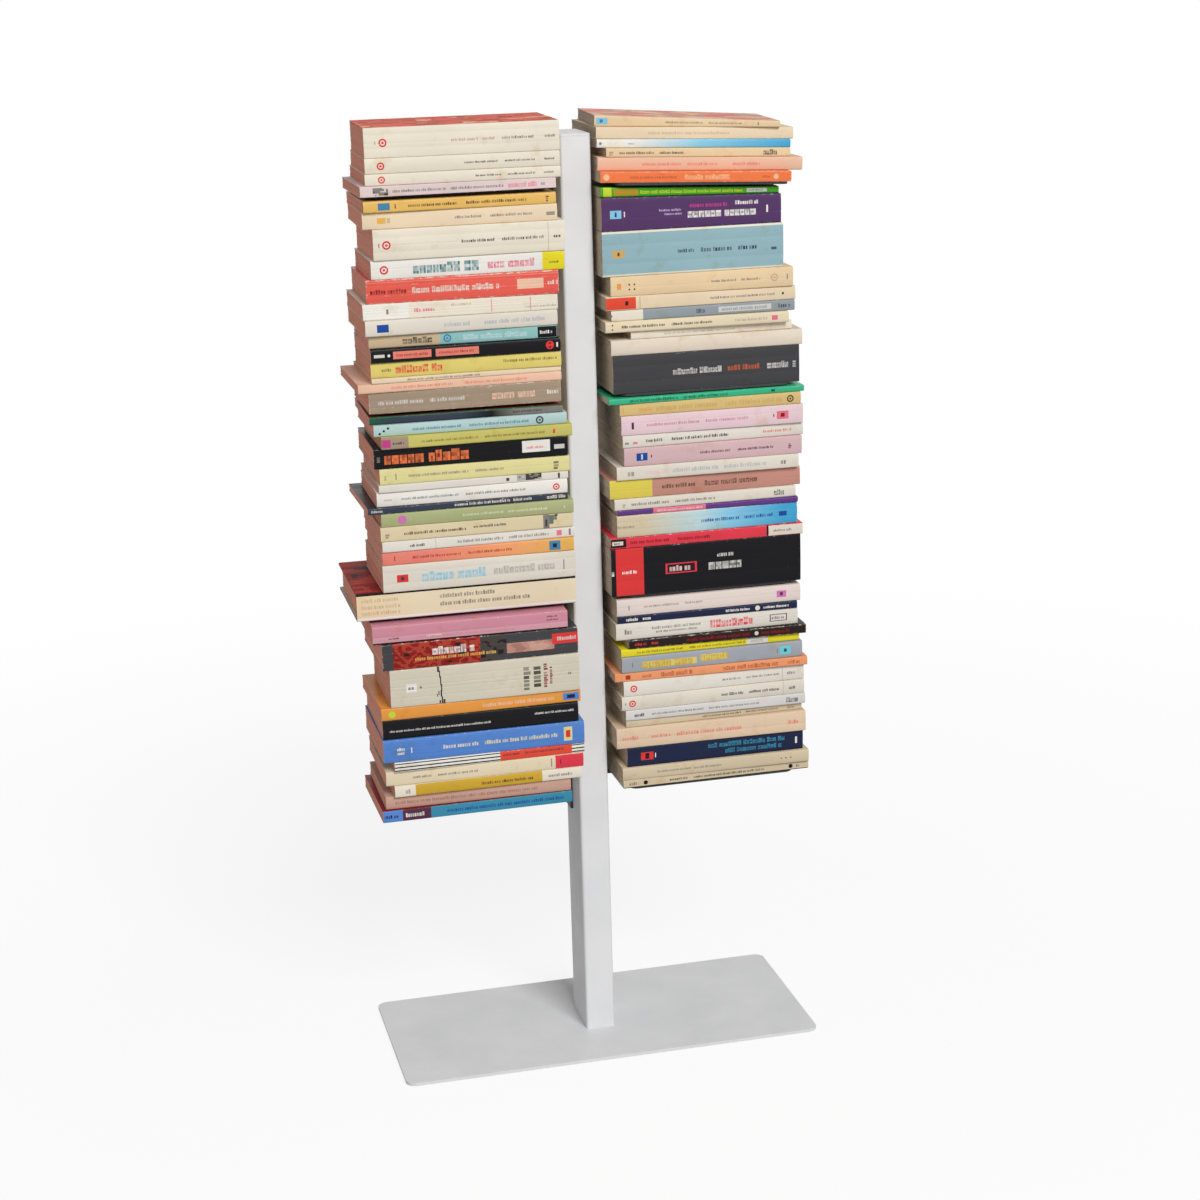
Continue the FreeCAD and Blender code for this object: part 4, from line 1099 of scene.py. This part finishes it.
# A cover's map, as (left, low, wide, tall): the spine takes the lower half, in a few strips.
# The rims are the two fore edges, the four ends of the boards and the spine's inside, twice.
SPINE_ON_MAP = 0.5
BOARDS_ON_MAP = ((0.005, 0.52, 0.485, 0.30), (0.51, 0.52, 0.485, 0.30))
LININGS_ON_MAP = ((0.005, 0.835, 0.235, 0.15), (0.255, 0.835, 0.235, 0.15))
RIMS_ON_MAP = [(0.51, 0.835 + 0.014 * row, 0.485, 0.009) for row in range(8)]
CAPS_ON_MAP = ((0.51, 0.955, 0.025, 0.035), (0.545, 0.955, 0.025, 0.035))
ROUNDS_ON_MAP = [(0.58 + 0.045 * number, 0.955, 0.04, 0.035) for number in range(9)]


def on_map(area, across, up):
    """A spot in one area of the map, from shares of its width and height."""
    left, low, wide, tall = area
    return (left + wide * across, low + tall * up)


def spine_strips(book, along):
    """Where the spine is cut into strips on its map."""
    count = min(4, max(1, round(math.sqrt(0.1 / book.thick))))
    return [min(along, key=lambda line: abs(line - book.long * index / count))
            for index in range(count + 1)]


def on_spine(book, cuts, strip, along, up):
    """A spot of the spine on the map."""
    count = len(cuts) - 1
    across = (along - cuts[strip]) / (cuts[strip + 1] - cuts[strip])
    low = (strip + 0.03 + 0.94 * up / book.thick) / count
    return (0.003 + 0.994 * across, SPINE_ON_MAP * low)


def painted_cells(book, areas, along, up):
    """Left and right ink of each cell of the spine's grid."""
    ground = linear(INKS[book.look["ground"]])
    cells = np.tile(np.array(ground), (len(along) - 1, len(up) - 1, 2, 1))
    across = np.array(along)
    centre_up = (np.array(up)[1:] + np.array(up)[:-1]) / 2
    centre_along = (across[1:] + across[:-1]) / 2
    for start, end, low, high, first, last in areas:
        pick_a = np.where((centre_along > start) & (centre_along < end))[0]
        pick_u = np.where((centre_up > low) & (centre_up < high))[0]
        for a in pick_a:
            for half in (0, 1):
                share = (across[a + half] - start) / (end - start)
                ink = np.array(first) * (1 - share) + np.array(last) * share
                under = cells[a, pick_u, half, :3]
                cells[a, pick_u, half, :3] = under * (1 - ink[3]) + ink[:3] * ink[3]
    return cells


def worn_at(book, along, up):
    """How rubbed the spine is at one place."""
    edge = min(up, book.thick - up)
    rub = max(0.0, 1 - abs(edge - 0.35 * book.corner) / (1.1 * book.corner))
    end = min(along, book.long - along)
    rub = max(rub, 0.85 * max(0.0, 1 - end / SPINE_END_RUBBED))
    for crease in book.creases:
        rub = max(rub, 0.62 * max(0.0, 1 - abs(up - crease) / CREASE_RUBBED))
    return rub * book.look["worn"]


def dented(book, dents, along, up):
    """How far the corners of a spine are pushed in."""
    end = min(along, book.long - along)
    edge = min(up, book.thick - up)
    if end > DENT_LONG or edge > DENT_TALL:
        return 0.0
    index = (along > book.long / 2) * 2 + (up > book.thick / 2)
    return dents[index] * (1 - end / DENT_LONG) ** 2 * (1 - edge / DENT_TALL) ** 2


def lines_along(book, areas):
    """Lines along the spine, and the numbers of those that run on into the boards."""
    shared = [*END_LINES, *(book.long - value for value in END_LINES)]
    shared += [book.long * share for share in LENGTH_SHARES]
    if book.look["picture"]:
        shared += [book.long * index / PICTURE_COLUMNS for index in range(1, PICTURE_COLUMNS)]
    shared = lines_at(shared, APART_ALONG)
    printed = [edge for area in areas for edge in area[:2]
               if min(abs(edge - line) for line in shared) > PRINT_FROM_LINE]
    lines = lines_at(shared + printed, APART_IN_PRINT)
    picks = [index for index, line in enumerate(lines)
             if min(abs(line - other) for other in shared) < 1e-7]
    return lines, picks


def lines_up(book, areas):
    """Lines up the spine: round its corners, at its creases and where its print ends."""
    arc = [book.corner * (1 - math.cos(math.radians(angle))) for angle in (0, 30, 60, 90)]
    lines = arc + [book.thick - value for value in arc] + [book.thick / 2]
    lines += [crease + shift for crease in book.creases
              for shift in (-CREASE_RUBBED, 0.0, CREASE_RUBBED)]
    lines += [edge for area in areas for edge in area[2:4]]
    return lines_at([min(max(value, 0.0), book.thick) for value in lines], APART_UP)


def lines_inwards(book, hinge):
    """Lines across a board, from its hinge to its fore edge."""
    lines = [hinge, hinge + GROOVE_WIDE, *(book.deep * share for share in DEPTH_SHARES),
             book.deep - FORE_EDGE_LINE, book.deep]
    if book.look["picture"]:
        lines += [book.deep * index / PICTURE_ROWS for index in range(2, PICTURE_ROWS)]
    return lines_at([value for value in lines if value >= hinge], APART_INWARDS)


def cell(grid, i, j):
    """The four corners of one cell of a grid."""
    return [grid[i][j], grid[i + 1][j], grid[i + 1][j + 1], grid[i][j + 1]]


class Cover:
    """A cover folded round its leaves: points, wear, and faces with inks and map spots."""

    def __init__(self, book):
        self.book = book
        self.points, self.worn = [], []
        self.faces, self.inks, self.spots = [], [], []
        self.board_ink = linear(INKS[book.look["board"]])
        self.lining = linear(INKS["lining"])
        dents = [book.rng.uniform(0, DENT_DEEP) * book.look["worn"] for _ in range(4)]
        areas = printed_areas(book)
        self.along, self.picks = lines_along(book, areas)
        self.up = lines_up(book, areas)
        self.stations = [self.along[index] for index in self.picks]
        self.inner_edge = max(book.spine_depth(0.0), book.spine_depth(book.thick)) + book.card
        self.inwards = lines_inwards(book, self.inner_edge + HINGE)
        self.spine = [[self.point(a, book.spine_depth(u) + dented(book, dents, a, u), u,
                                  worn_at(book, a, u)) for u in self.up] for a in self.along]
        self.lay_spine(painted_cells(book, areas, self.along, self.up))
        self.outer, self.inner = zip(self.place_board(0), self.place_board(1))
        self.lay_board(0)
        self.lay_board(1)
        self.line_spine()
        stamp_rounds(book, self)

    def point(self, along, inwards, up, worn=0.0):
        """Add a point and return its number."""
        self.points.append((along, inwards, up))
        self.worn.append(worn)
        return len(self.points) - 1

    def face(self, numbers, ink, spots, turned=False):
        """Add a face in one ink, or with an ink for each corner, and its spots on the map."""
        way = -1 if turned else 1
        self.faces.append(numbers[::way])
        self.spots.append(spots[::way])
        self.inks.append(ink if isinstance(ink, list) else [ink] * len(numbers))

    def flat(self, numbers, ink, turned, area):
        """Add a face of a board, laid on the map as it lies."""
        spots = [on_map(area, self.points[n][0] / self.book.long,
                        self.points[n][1] / self.book.deep) for n in numbers]
        self.face(numbers, ink, spots, turned)

    def rim(self, numbers, ink, turned, area, axis):
        """Add a face of a rim: two points on the lining's side, then two on the outer side."""
        size = (self.book.long, self.book.deep)[axis]
        spots = [on_map(area, self.points[n][axis] / size, side)
                 for n, side in zip(numbers, (0, 1, 1, 0))]
        self.face(numbers, ink, spots, turned)

    def lay_spine(self, cells):
        """The faces of the spine, each with the inks of its cell."""
        along, up = self.along, self.up
        cuts = spine_strips(self.book, along)
        for i in range(len(along) - 1):
            strip = sum(cut <= along[i] for cut in cuts) - 1
            for j in range(len(up) - 1):
                first, last = tuple(cells[i, j, 0]), tuple(cells[i, j, 1])
                spots = [on_spine(self.book, cuts, strip, along[a], up[u])
                         for a, u in ((i, j), (i + 1, j), (i + 1, j + 1), (i, j + 1))]
                self.face(cell(self.spine, i, j), [first, last, last, first], spots)

    def place_board(self, top):
        """Points of the lower or upper board, outside and inside, as [station][inwards]."""
        book = self.book
        worn = book.look["worn"]
        groove = min(GROOVE_DEEP, book.card * 0.3)
        face_up = book.thick if top else 0.0
        lined_up = book.thick - book.card if top else book.card
        sink = -groove if top else groove
        outer, inner = [], []
        for index, a in zip(self.picks, self.stations):
            end = min(a, book.long - a)
            end_rub = 0.7 * worn * max(0.0, 1 - end / BOARD_END_RUBBED)
            row = [self.spine[index][-1 if top else 0]]
            for number, y in enumerate(self.inwards):
                rub = max(end_rub, 0.7 * worn * (y > book.deep - FORE_EDGE_RUBBED))
                rub = max(rub, 0.35 * worn * (number == 0))
                row.append(self.point(a, y, face_up + (sink if number == 0 else 0.0), rub))
            outer.append(row)
            inner.append([self.point(a, y, lined_up) for y in [self.inner_edge] + self.inwards])
        return outer, inner

    def outer_ink(self, top, i, j):
        """The ink of one cell of a board's outside; a picture lies on the upper board."""
        inks = self.book.look["picture"]
        if not (top and inks):
            return self.board_ink
        return linear(INKS[motif(inks, self.stations[i] / MM, self.inwards[j] / MM,
                                 PICTURE_GRAIN)])

    def lay_board(self, top):
        """The faces of the lower or upper board: outside, lining, fore edge and two ends."""
        outer, inner = self.outer[top], self.inner[top]
        board, lined = BOARDS_ON_MAP[top], LININGS_ON_MAP[top]
        for i in range(len(self.stations) - 1):
            edge = [column[-1 if top else 0]
                    for column in self.spine[self.picks[i]:self.picks[i + 1] + 1]]
            self.flat(edge + [outer[i + 1][1], outer[i][1]], self.board_ink, not top, board)
            for j in range(1, len(self.inwards)):
                self.flat(cell(outer, i, j), self.outer_ink(top, i, j), not top, board)
            for j in range(len(self.inwards)):
                self.flat(cell(inner, i, j), self.lining, top, lined)
            self.rim([inner[i][-1], outer[i][-1], outer[i + 1][-1], inner[i + 1][-1]],
                     self.lining, not top, RIMS_ON_MAP[top], 0)
        for number, end in enumerate((0, -1)):
            for j in range(len(self.inwards)):
                self.rim([inner[end][j], outer[end][j], outer[end][j + 1], inner[end][j + 1]],
                         self.board_ink, number == top, RIMS_ON_MAP[2 + 2 * top + number], 1)

    def line_spine(self):
        """The inside of the spine, and its two ends."""
        thick = self.book.thick
        depth = self.book.spine_depth(thick / 2) + self.book.card
        middle = [self.point(a, depth, thick / 2) for a in self.stations]
        bottom, top = ([row[0] for row in board] for board in self.inner)
        for i in range(len(self.stations) - 1):
            for half, (low, high) in enumerate(((bottom, middle), (middle, top))):
                self.rim([low[i], high[i], high[i + 1], low[i + 1]], self.lining, False,
                         RIMS_ON_MAP[6 + half], 0)
        for number, end in enumerate((0, -1)):
            loop = self.spine[end] + [top[end], middle[end], bottom[end]]
            spots = [on_map(CAPS_ON_MAP[number], self.points[n][1] / (self.inner_edge + 0.001),
                            self.points[n][2] / thick) for n in loop]
            self.face(loop, self.board_ink, spots, end == -1)


def stamp_rounds(book, mesh):
    """Lay the dots and rings on the spine, as a film of ink."""
    lift, sink, count = 0.00004, 0.0001, 24
    areas = iter(ROUNDS_ON_MAP)
    for kind, *mark in book.look["marks"]:
        if kind != "round":
            continue
        x, ink, wide, hole, at = mark
        ink = linear(INKS[ink])
        centre, height = x * MM - book.left, at * book.thick
        radius = min(wide * MM / 2, 0.42 * book.thick)
        parts = [(radius, radius * hole)]
        if hole:
            parts.append((radius * 0.3, 0.0))
        for outer, inner in parts:
            area = next(areas)
            rings = []
            for size, depth in ((outer, -lift), (outer, sink), (inner, sink), (inner, -lift)):
                ring_points = []
                for step in range(count):
                    angle = 2 * math.pi * step / count
                    up = height + size * math.sin(angle)
                    ring_points.append(mesh.point(centre + size * math.cos(angle),
                                                  book.spine_depth(up) + depth, up))
                    if size == 0:
                        break
                rings.append(ring_points)
            for row in range(4):
                close_rings(mesh, rings[row], rings[(row + 1) % 4], ink, area, row)


def close_rings(mesh, first, last, ink, area, row):
    """Join two rings of points with faces; a ring of one point is a centre."""
    count = max(len(first), len(last))
    if count == 1:
        return
    for step in range(count):
        after = (step + 1) % count
        corners = [(first[step % len(first)], step, row),
                   (first[after % len(first)], step + 1, row),
                   (last[after % len(last)], step + 1, row + 1),
                   (last[step % len(last)], step, row + 1)]
        if len(first) == 1:
            corners.pop(0)
        if len(last) == 1:
            corners.pop()
        mesh.face([corner[0] for corner in corners], ink,
                  [on_map(area, corner[1] / count, corner[2] / 4) for corner in corners])


def finished_cover(name, cover, finish):
    """The cover's mesh, in place, with its inks and its wear."""
    mesh = bpy.data.meshes.new(name)
    mesh.from_pydata([tuple(p) for p in cover.book.place(cover.points)], [], cover.faces)
    worn = mesh.attributes.new("worn", "FLOAT", "POINT")
    worn.data.foreach_set("value", cover.worn)
    inks = mesh.attributes.new("ink", "FLOAT_COLOR", "CORNER")
    inks.data.foreach_set("color", [c for face in cover.inks for ink in face for c in ink])
    spots = mesh.uv_layers.new(name="OFBake")
    spots.data.foreach_set("uv", [c for face in cover.spots for spot in face for c in spot])
    mesh.materials.append(finish)
    mesh.shade_smooth()
    mesh.set_sharp_from_angle(angle=SHARP_CARD)
    piece = bpy.data.objects.new(name, mesh)
    bpy.context.scene.collection.objects.link(piece)
    return piece


def all_books(settings):
    """Every book as (stack, number, book)."""
    for stack_number, (stack, looks) in enumerate(LOOKS.items()):
        solids = book_corners(stack)
        if len(solids) > len(looks):
            raise RuntimeError(f"stack {stack} has {len(solids)} books and {len(looks)} looks")
        for number, (corners, look) in enumerate(zip(solids, looks), 1):
            seed = settings.seed * 1000 + stack_number * 50 + number
            yield stack, number, Book(corners, look, settings, seed, number == 1)


class BOOKSHELF_OT_covers(bpy.types.Operator):
    """Fold and print a cover for each book"""

    bl_idname = "bookshelf.covers"
    bl_label = "Covers"

    def execute(self, context):
        settings = context.scene.bookshelf_books
        finishes = {"card": printed_card(settings, "printed_card", False),
                    "gloss": printed_card(settings, "laminated_card", True)}
        for stack, number, book in all_books(settings):
            piece = finished_cover(f"cover_{stack}_{number:02d}", Cover(book),
                                   finishes[book.look["finish"]])
            link_piece(piece, f"books_{stack}", "books")
        return {"FINISHED"}


def leaf_tree():
    """Geometry Nodes that lay a bundle of leaves at each point, a little unevenly."""
    tree = bpy.data.node_groups.new("leaf_bundles", "GeometryNodeTree")
    face = tree.interface
    face.new_socket("Geometry", in_out="INPUT", socket_type="NodeSocketGeometry")
    face.new_socket("Stagger", in_out="INPUT", socket_type="NodeSocketFloat")
    face.new_socket("Seed", in_out="INPUT", socket_type="NodeSocketInt")
    face.new_socket("Leaf edges", in_out="INPUT", socket_type="NodeSocketMaterial")
    face.new_socket("Geometry", in_out="OUTPUT", socket_type="NodeSocketGeometry")

    nodes = Nodes(tree)
    inputs = nodes.add("NodeGroupInput").outputs
    vectors = {"data_type": "FLOAT_VECTOR"}
    size, turn = (nodes.add("GeometryNodeInputNamedAttribute", vectors, Name=name).outputs[0]
                  for name in ("bundle_size", "bundle_turn"))
    low, high = (nodes.add("ShaderNodeVectorMath", {"operation": "SCALE"}, Vector=way,
                           Scale=inputs["Stagger"]).outputs[0]
                 for way in ((-1, -1, 0), (1, 1, 0)))
    shift = nodes.add("FunctionNodeRandomValue", vectors, Min=low, Max=high,
                      Seed=inputs["Seed"])
    moved = nodes.add("GeometryNodeSetPosition", Geometry=inputs["Geometry"],
                      Offset=shift.outputs[0])
    bundle = nodes.add("GeometryNodeMeshCube")
    turned = nodes.add("FunctionNodeEulerToRotation", Euler=turn)
    laid = nodes.add("GeometryNodeInstanceOnPoints", Points=moved.outputs[0],
                     Instance=bundle.outputs[0], Rotation=turned.outputs[0], Scale=size)
    solid = nodes.add("GeometryNodeRealizeInstances", Geometry=laid.outputs[0])
    coloured = nodes.add("GeometryNodeSetMaterial", Geometry=solid.outputs[0],
                         Material=inputs["Leaf edges"])
    nodes.add("NodeGroupOutput", Geometry=coloured.outputs[0])
    return tree


def set_input(modifier, name, value):
    """Set a Geometry Nodes input by its socket's identifier."""
    for item in modifier.node_group.interface.items_tree:
        if item.item_type == "SOCKET" and item.in_out == "INPUT" and item.name == name:
            modifier[item.identifier] = value
            return
    raise RuntimeError(f"the tree has no input named {name}")


def bundles_of(book, settings):
    """Place, size and turn of each leaf bundle of one book."""
    square = settings.case_square if book.look["cased"] else settings.trim
    low, high = book.card, book.thick - book.card
    back = book.spine_depth(book.thick / 2) + book.card + MIDDLE_GAP
    edge = max(book.spine_depth(low), book.spine_depth(high)) + book.card
    count = max(2, round((high - low) / settings.bundle))
    for index in range(count):
        up = low + (high - low) * (index + 0.5) / count
        share = (up - low) / (high - low)
        front = back + (edge - back) * (2 * share - 1) ** 2 + SPINE_GAP
        rear = book.deep - square - FORE_EDGE_HOLLOW * math.sin(math.pi * share)
        head, halfway = book.long - square, (front + rear) / 2
        middle, start, end, near, far = book.place([
            (book.long / 2, halfway, up), (square, halfway, up), (head, halfway, up),
            (book.long / 2, front, up), (book.long / 2, rear, up)])
        along = end - start
        across = far - near
        heights = [book.place([(x, deep, value) for value in (low, high)])
                   for x in (square, head) for deep in (front, rear)]
        tall = max(np.linalg.norm(pair[1] - pair[0]) for pair in heights) / count
        turn = (0.0, -math.atan2(along[2], np.hypot(along[0], along[1])),
                math.atan2(along[1], along[0]))
        yield middle, (np.linalg.norm(along), np.linalg.norm(across), tall), turn


class BOOKSHELF_OT_leaves(bpy.types.Operator):
    """Fill each cover with bundles of leaves"""

    bl_idname = "bookshelf.leaves"
    bl_label = "Leaves"

    def execute(self, context):
        settings = context.scene.bookshelf_books
        tree = leaf_tree()
        finishes = {side: leaf_edges(settings, side) for side in ("left", "right")}
        points = {stack: [] for stack in LOOKS}
        papers = {stack: [] for stack in LOOKS}
        for stack, _, book in all_books(settings):
            age = book.rng.uniform(0.0, 1.0)
            paper = linear((0.93 - 0.08 * age, 0.89 - 0.12 * age, 0.80 - 0.18 * age))
            for bundle in bundles_of(book, settings):
                points[stack].append(bundle)
                papers[stack].append(paper)
        for number, (stack, bundles) in enumerate(points.items()):
            mesh = bpy.data.meshes.new(f"leaves_{stack}")
            mesh.from_pydata([tuple(b[0]) for b in bundles], [], [])
            for name, index in (("bundle_size", 1), ("bundle_turn", 2)):
                layer = mesh.attributes.new(name, "FLOAT_VECTOR", "POINT")
                layer.data.foreach_set("vector", [v for b in bundles for v in b[index]])
            layer = mesh.attributes.new("paper", "FLOAT_COLOR", "POINT")
            layer.data.foreach_set("color", [c for paper in papers[stack] for c in paper])
            piece = bpy.data.objects.new(f"leaves_{stack}", mesh)
            context.scene.collection.objects.link(piece)
            modifier = piece.modifiers.new("leaf bundles", "NODES")
            modifier.node_group = tree
            set_input(modifier, "Stagger", settings.stagger)
            set_input(modifier, "Seed", settings.seed + number)
            set_input(modifier, "Leaf edges", finishes[stack.split("_")[0]])
            piece = settled(piece)
            if not piece.data.polygons:
                raise RuntimeError(f"the leaves of stack {stack} came out empty")
            link_piece(piece, f"books_{stack}", "books", f"books_{stack}")
        return {"FINISHED"}


# ---------------------------------------------------------------------------------------
# Stage
# ---------------------------------------------------------------------------------------

WHITE = (1, 1, 1, 1)
SENSOR_WIDTH = 36.0

# How far out the floor keeps its shadow as it is, and from where it is white, in metres
SHADOW_WITHIN, WHITE_FROM = 0.5, 1.8


def seen_directly(nodes):
    """Camera, glossy and transmission rays as one factor."""
    path = nodes.add("ShaderNodeLightPath")
    seen = path.outputs["Is Camera Ray"]
    for name in ("Is Glossy Ray", "Is Transmission Ray"):
        seen = nodes.math("ADD", seen, path.outputs[name], held=True)
    return seen


def studio_world(settings):
    """Even light from all sides, with a white background."""
    world = bpy.data.worlds.new("studio")
    world.use_nodes = True
    nodes = Nodes(world.node_tree)
    light = nodes.add("ShaderNodeBackground", Color=WHITE, Strength=settings.dome)
    backdrop = nodes.add("ShaderNodeBackground", Color=WHITE)
    mix = nodes.mixed(seen_directly(nodes), light, backdrop)
    nodes.add("ShaderNodeOutputWorld", Surface=mix)
    return world


def studio_floor(settings):
    """A pale floor that keeps a soft shadow near the object and is white further out."""
    finish = Finish("studio_floor", Roughness=0.9, Specular_IOR_Level=0.0)
    seen = seen_directly(finish)
    finish.surface(Base_Color=finish.blend(seen, tuple(settings.bounce), tuple(settings.floor)))
    glow = finish.add("ShaderNodeEmission", Color=WHITE)
    away = finish.add("ShaderNodeVectorMath", {"operation": "LENGTH"}, Vector=finish.place())
    even = finish.ramp(away.outputs["Value"], SHADOW_WITHIN, WHITE_FROM, 0.84, 1.0)
    mix = finish.mixed(finish.math("MULTIPLY", seen, even), finish.shader, glow)
    finish.fill(finish.output, Surface=mix)
    return finish.material


def stage_camera(settings):
    """The camera, turned by its yaw, pitch and roll."""
    yaw, pitch, roll = settings.yaw, settings.pitch, settings.roll
    back = Vector((math.sin(yaw) * math.cos(pitch), -math.cos(yaw) * math.cos(pitch),
                   math.sin(pitch)))
    right = Vector((math.cos(yaw), math.sin(yaw), 0))
    upwards = back.cross(right)
    turned_right = right * math.cos(roll) + upwards * math.sin(roll)
    turned_up = upwards * math.cos(roll) - right * math.sin(roll)
    camera = bpy.data.objects.new("camera", bpy.data.cameras.new("camera"))
    camera.data.lens = settings.lens
    camera.data.sensor_fit = "HORIZONTAL"
    camera.data.sensor_width = SENSOR_WIDTH
    matrix = Matrix((turned_right, turned_up, back)).transposed().to_4x4()
    matrix.translation = Vector(settings.place)
    camera.matrix_world = matrix
    bpy.context.scene.collection.objects.link(camera)
    return camera


def front_lamp(settings):
    """A square lamp that shines at the object from the front."""
    light = bpy.data.lights.new("front_lamp", "AREA")
    light.shape = "SQUARE"
    light.size = settings.lamp_size
    light.energy = settings.lamp_power
    lamp = bpy.data.objects.new("front_lamp", light)
    lamp.location = settings.lamp_place
    aim = Vector(settings.lamp_target) - Vector(settings.lamp_place)
    lamp.rotation_euler = aim.to_track_quat("-Z", "Y").to_euler()
    bpy.context.scene.collection.objects.link(lamp)


class BOOKSHELF_OT_stage(bpy.types.Operator):
    """Set up the floor, the lamps and the camera"""

    bl_idname = "bookshelf.stage"
    bl_label = "Stage"

    def execute(self, context):
        settings = context.scene.bookshelf_stage
        scene = context.scene
        scene.world = studio_world(settings)
        scene.view_settings.view_transform = "Standard"
        reach = settings.floor_reach
        mesh = bpy.data.meshes.new("studio_floor")
        mesh.from_pydata([(-reach, -reach, 0), (reach, -reach, 0), (reach, reach, 0),
                          (-reach, reach, 0)], [], [(0, 1, 2, 3)])
        mesh.materials.append(studio_floor(settings))
        floor = bpy.data.objects.new("studio_floor", mesh)
        scene.collection.objects.link(floor)
        front_lamp(settings)
        scene.camera = stage_camera(settings)
        return {"FINISHED"}


class BOOKSHELF_PT_sidebar(bpy.types.Panel):
    """The bookshelf's steps and sizes"""

    bl_label = "Spine Bookshelf"
    bl_idname = "BOOKSHELF_PT_sidebar"
    bl_space_type = "VIEW_3D"
    bl_region_type = "UI"
    bl_category = "Bookshelf"

    def draw(self, context):
        for operator in OPERATORS:
            self.layout.operator(operator.bl_idname)
        for name in SETTINGS:
            box = self.layout.box()
            settings = getattr(context.scene, name)
            for prop in settings.__annotations__:
                box.prop(settings, prop)


OPERATORS = (BOOKSHELF_OT_stand, BOOKSHELF_OT_fixings, BOOKSHELF_OT_covers,
             BOOKSHELF_OT_leaves, BOOKSHELF_OT_stage)
SETTINGS = {"bookshelf_stand": StandSettings, "bookshelf_books": BookSettings,
            "bookshelf_stage": StageSettings}


def register():
    """Add the settings, the operators and the panel to Blender."""
    for name, group in SETTINGS.items():
        bpy.utils.register_class(group)
        setattr(bpy.types.Scene, name, PointerProperty(type=group))
    for operator in OPERATORS:
        bpy.utils.register_class(operator)
    bpy.utils.register_class(BOOKSHELF_PT_sidebar)


def unregister():
    """Take them out again."""
    bpy.utils.unregister_class(BOOKSHELF_PT_sidebar)
    for operator in reversed(OPERATORS):
        bpy.utils.unregister_class(operator)
    for name, group in SETTINGS.items():
        delattr(bpy.types.Scene, name)
        bpy.utils.unregister_class(group)


def main():
    """Build the whole bookshelf."""
    register()
    bpy.ops.bookshelf.stand()
    bpy.ops.bookshelf.fixings()
    bpy.ops.bookshelf.covers()
    bpy.ops.bookshelf.leaves()
    bpy.ops.bookshelf.stage()


if __name__ == "__main__":
    main()
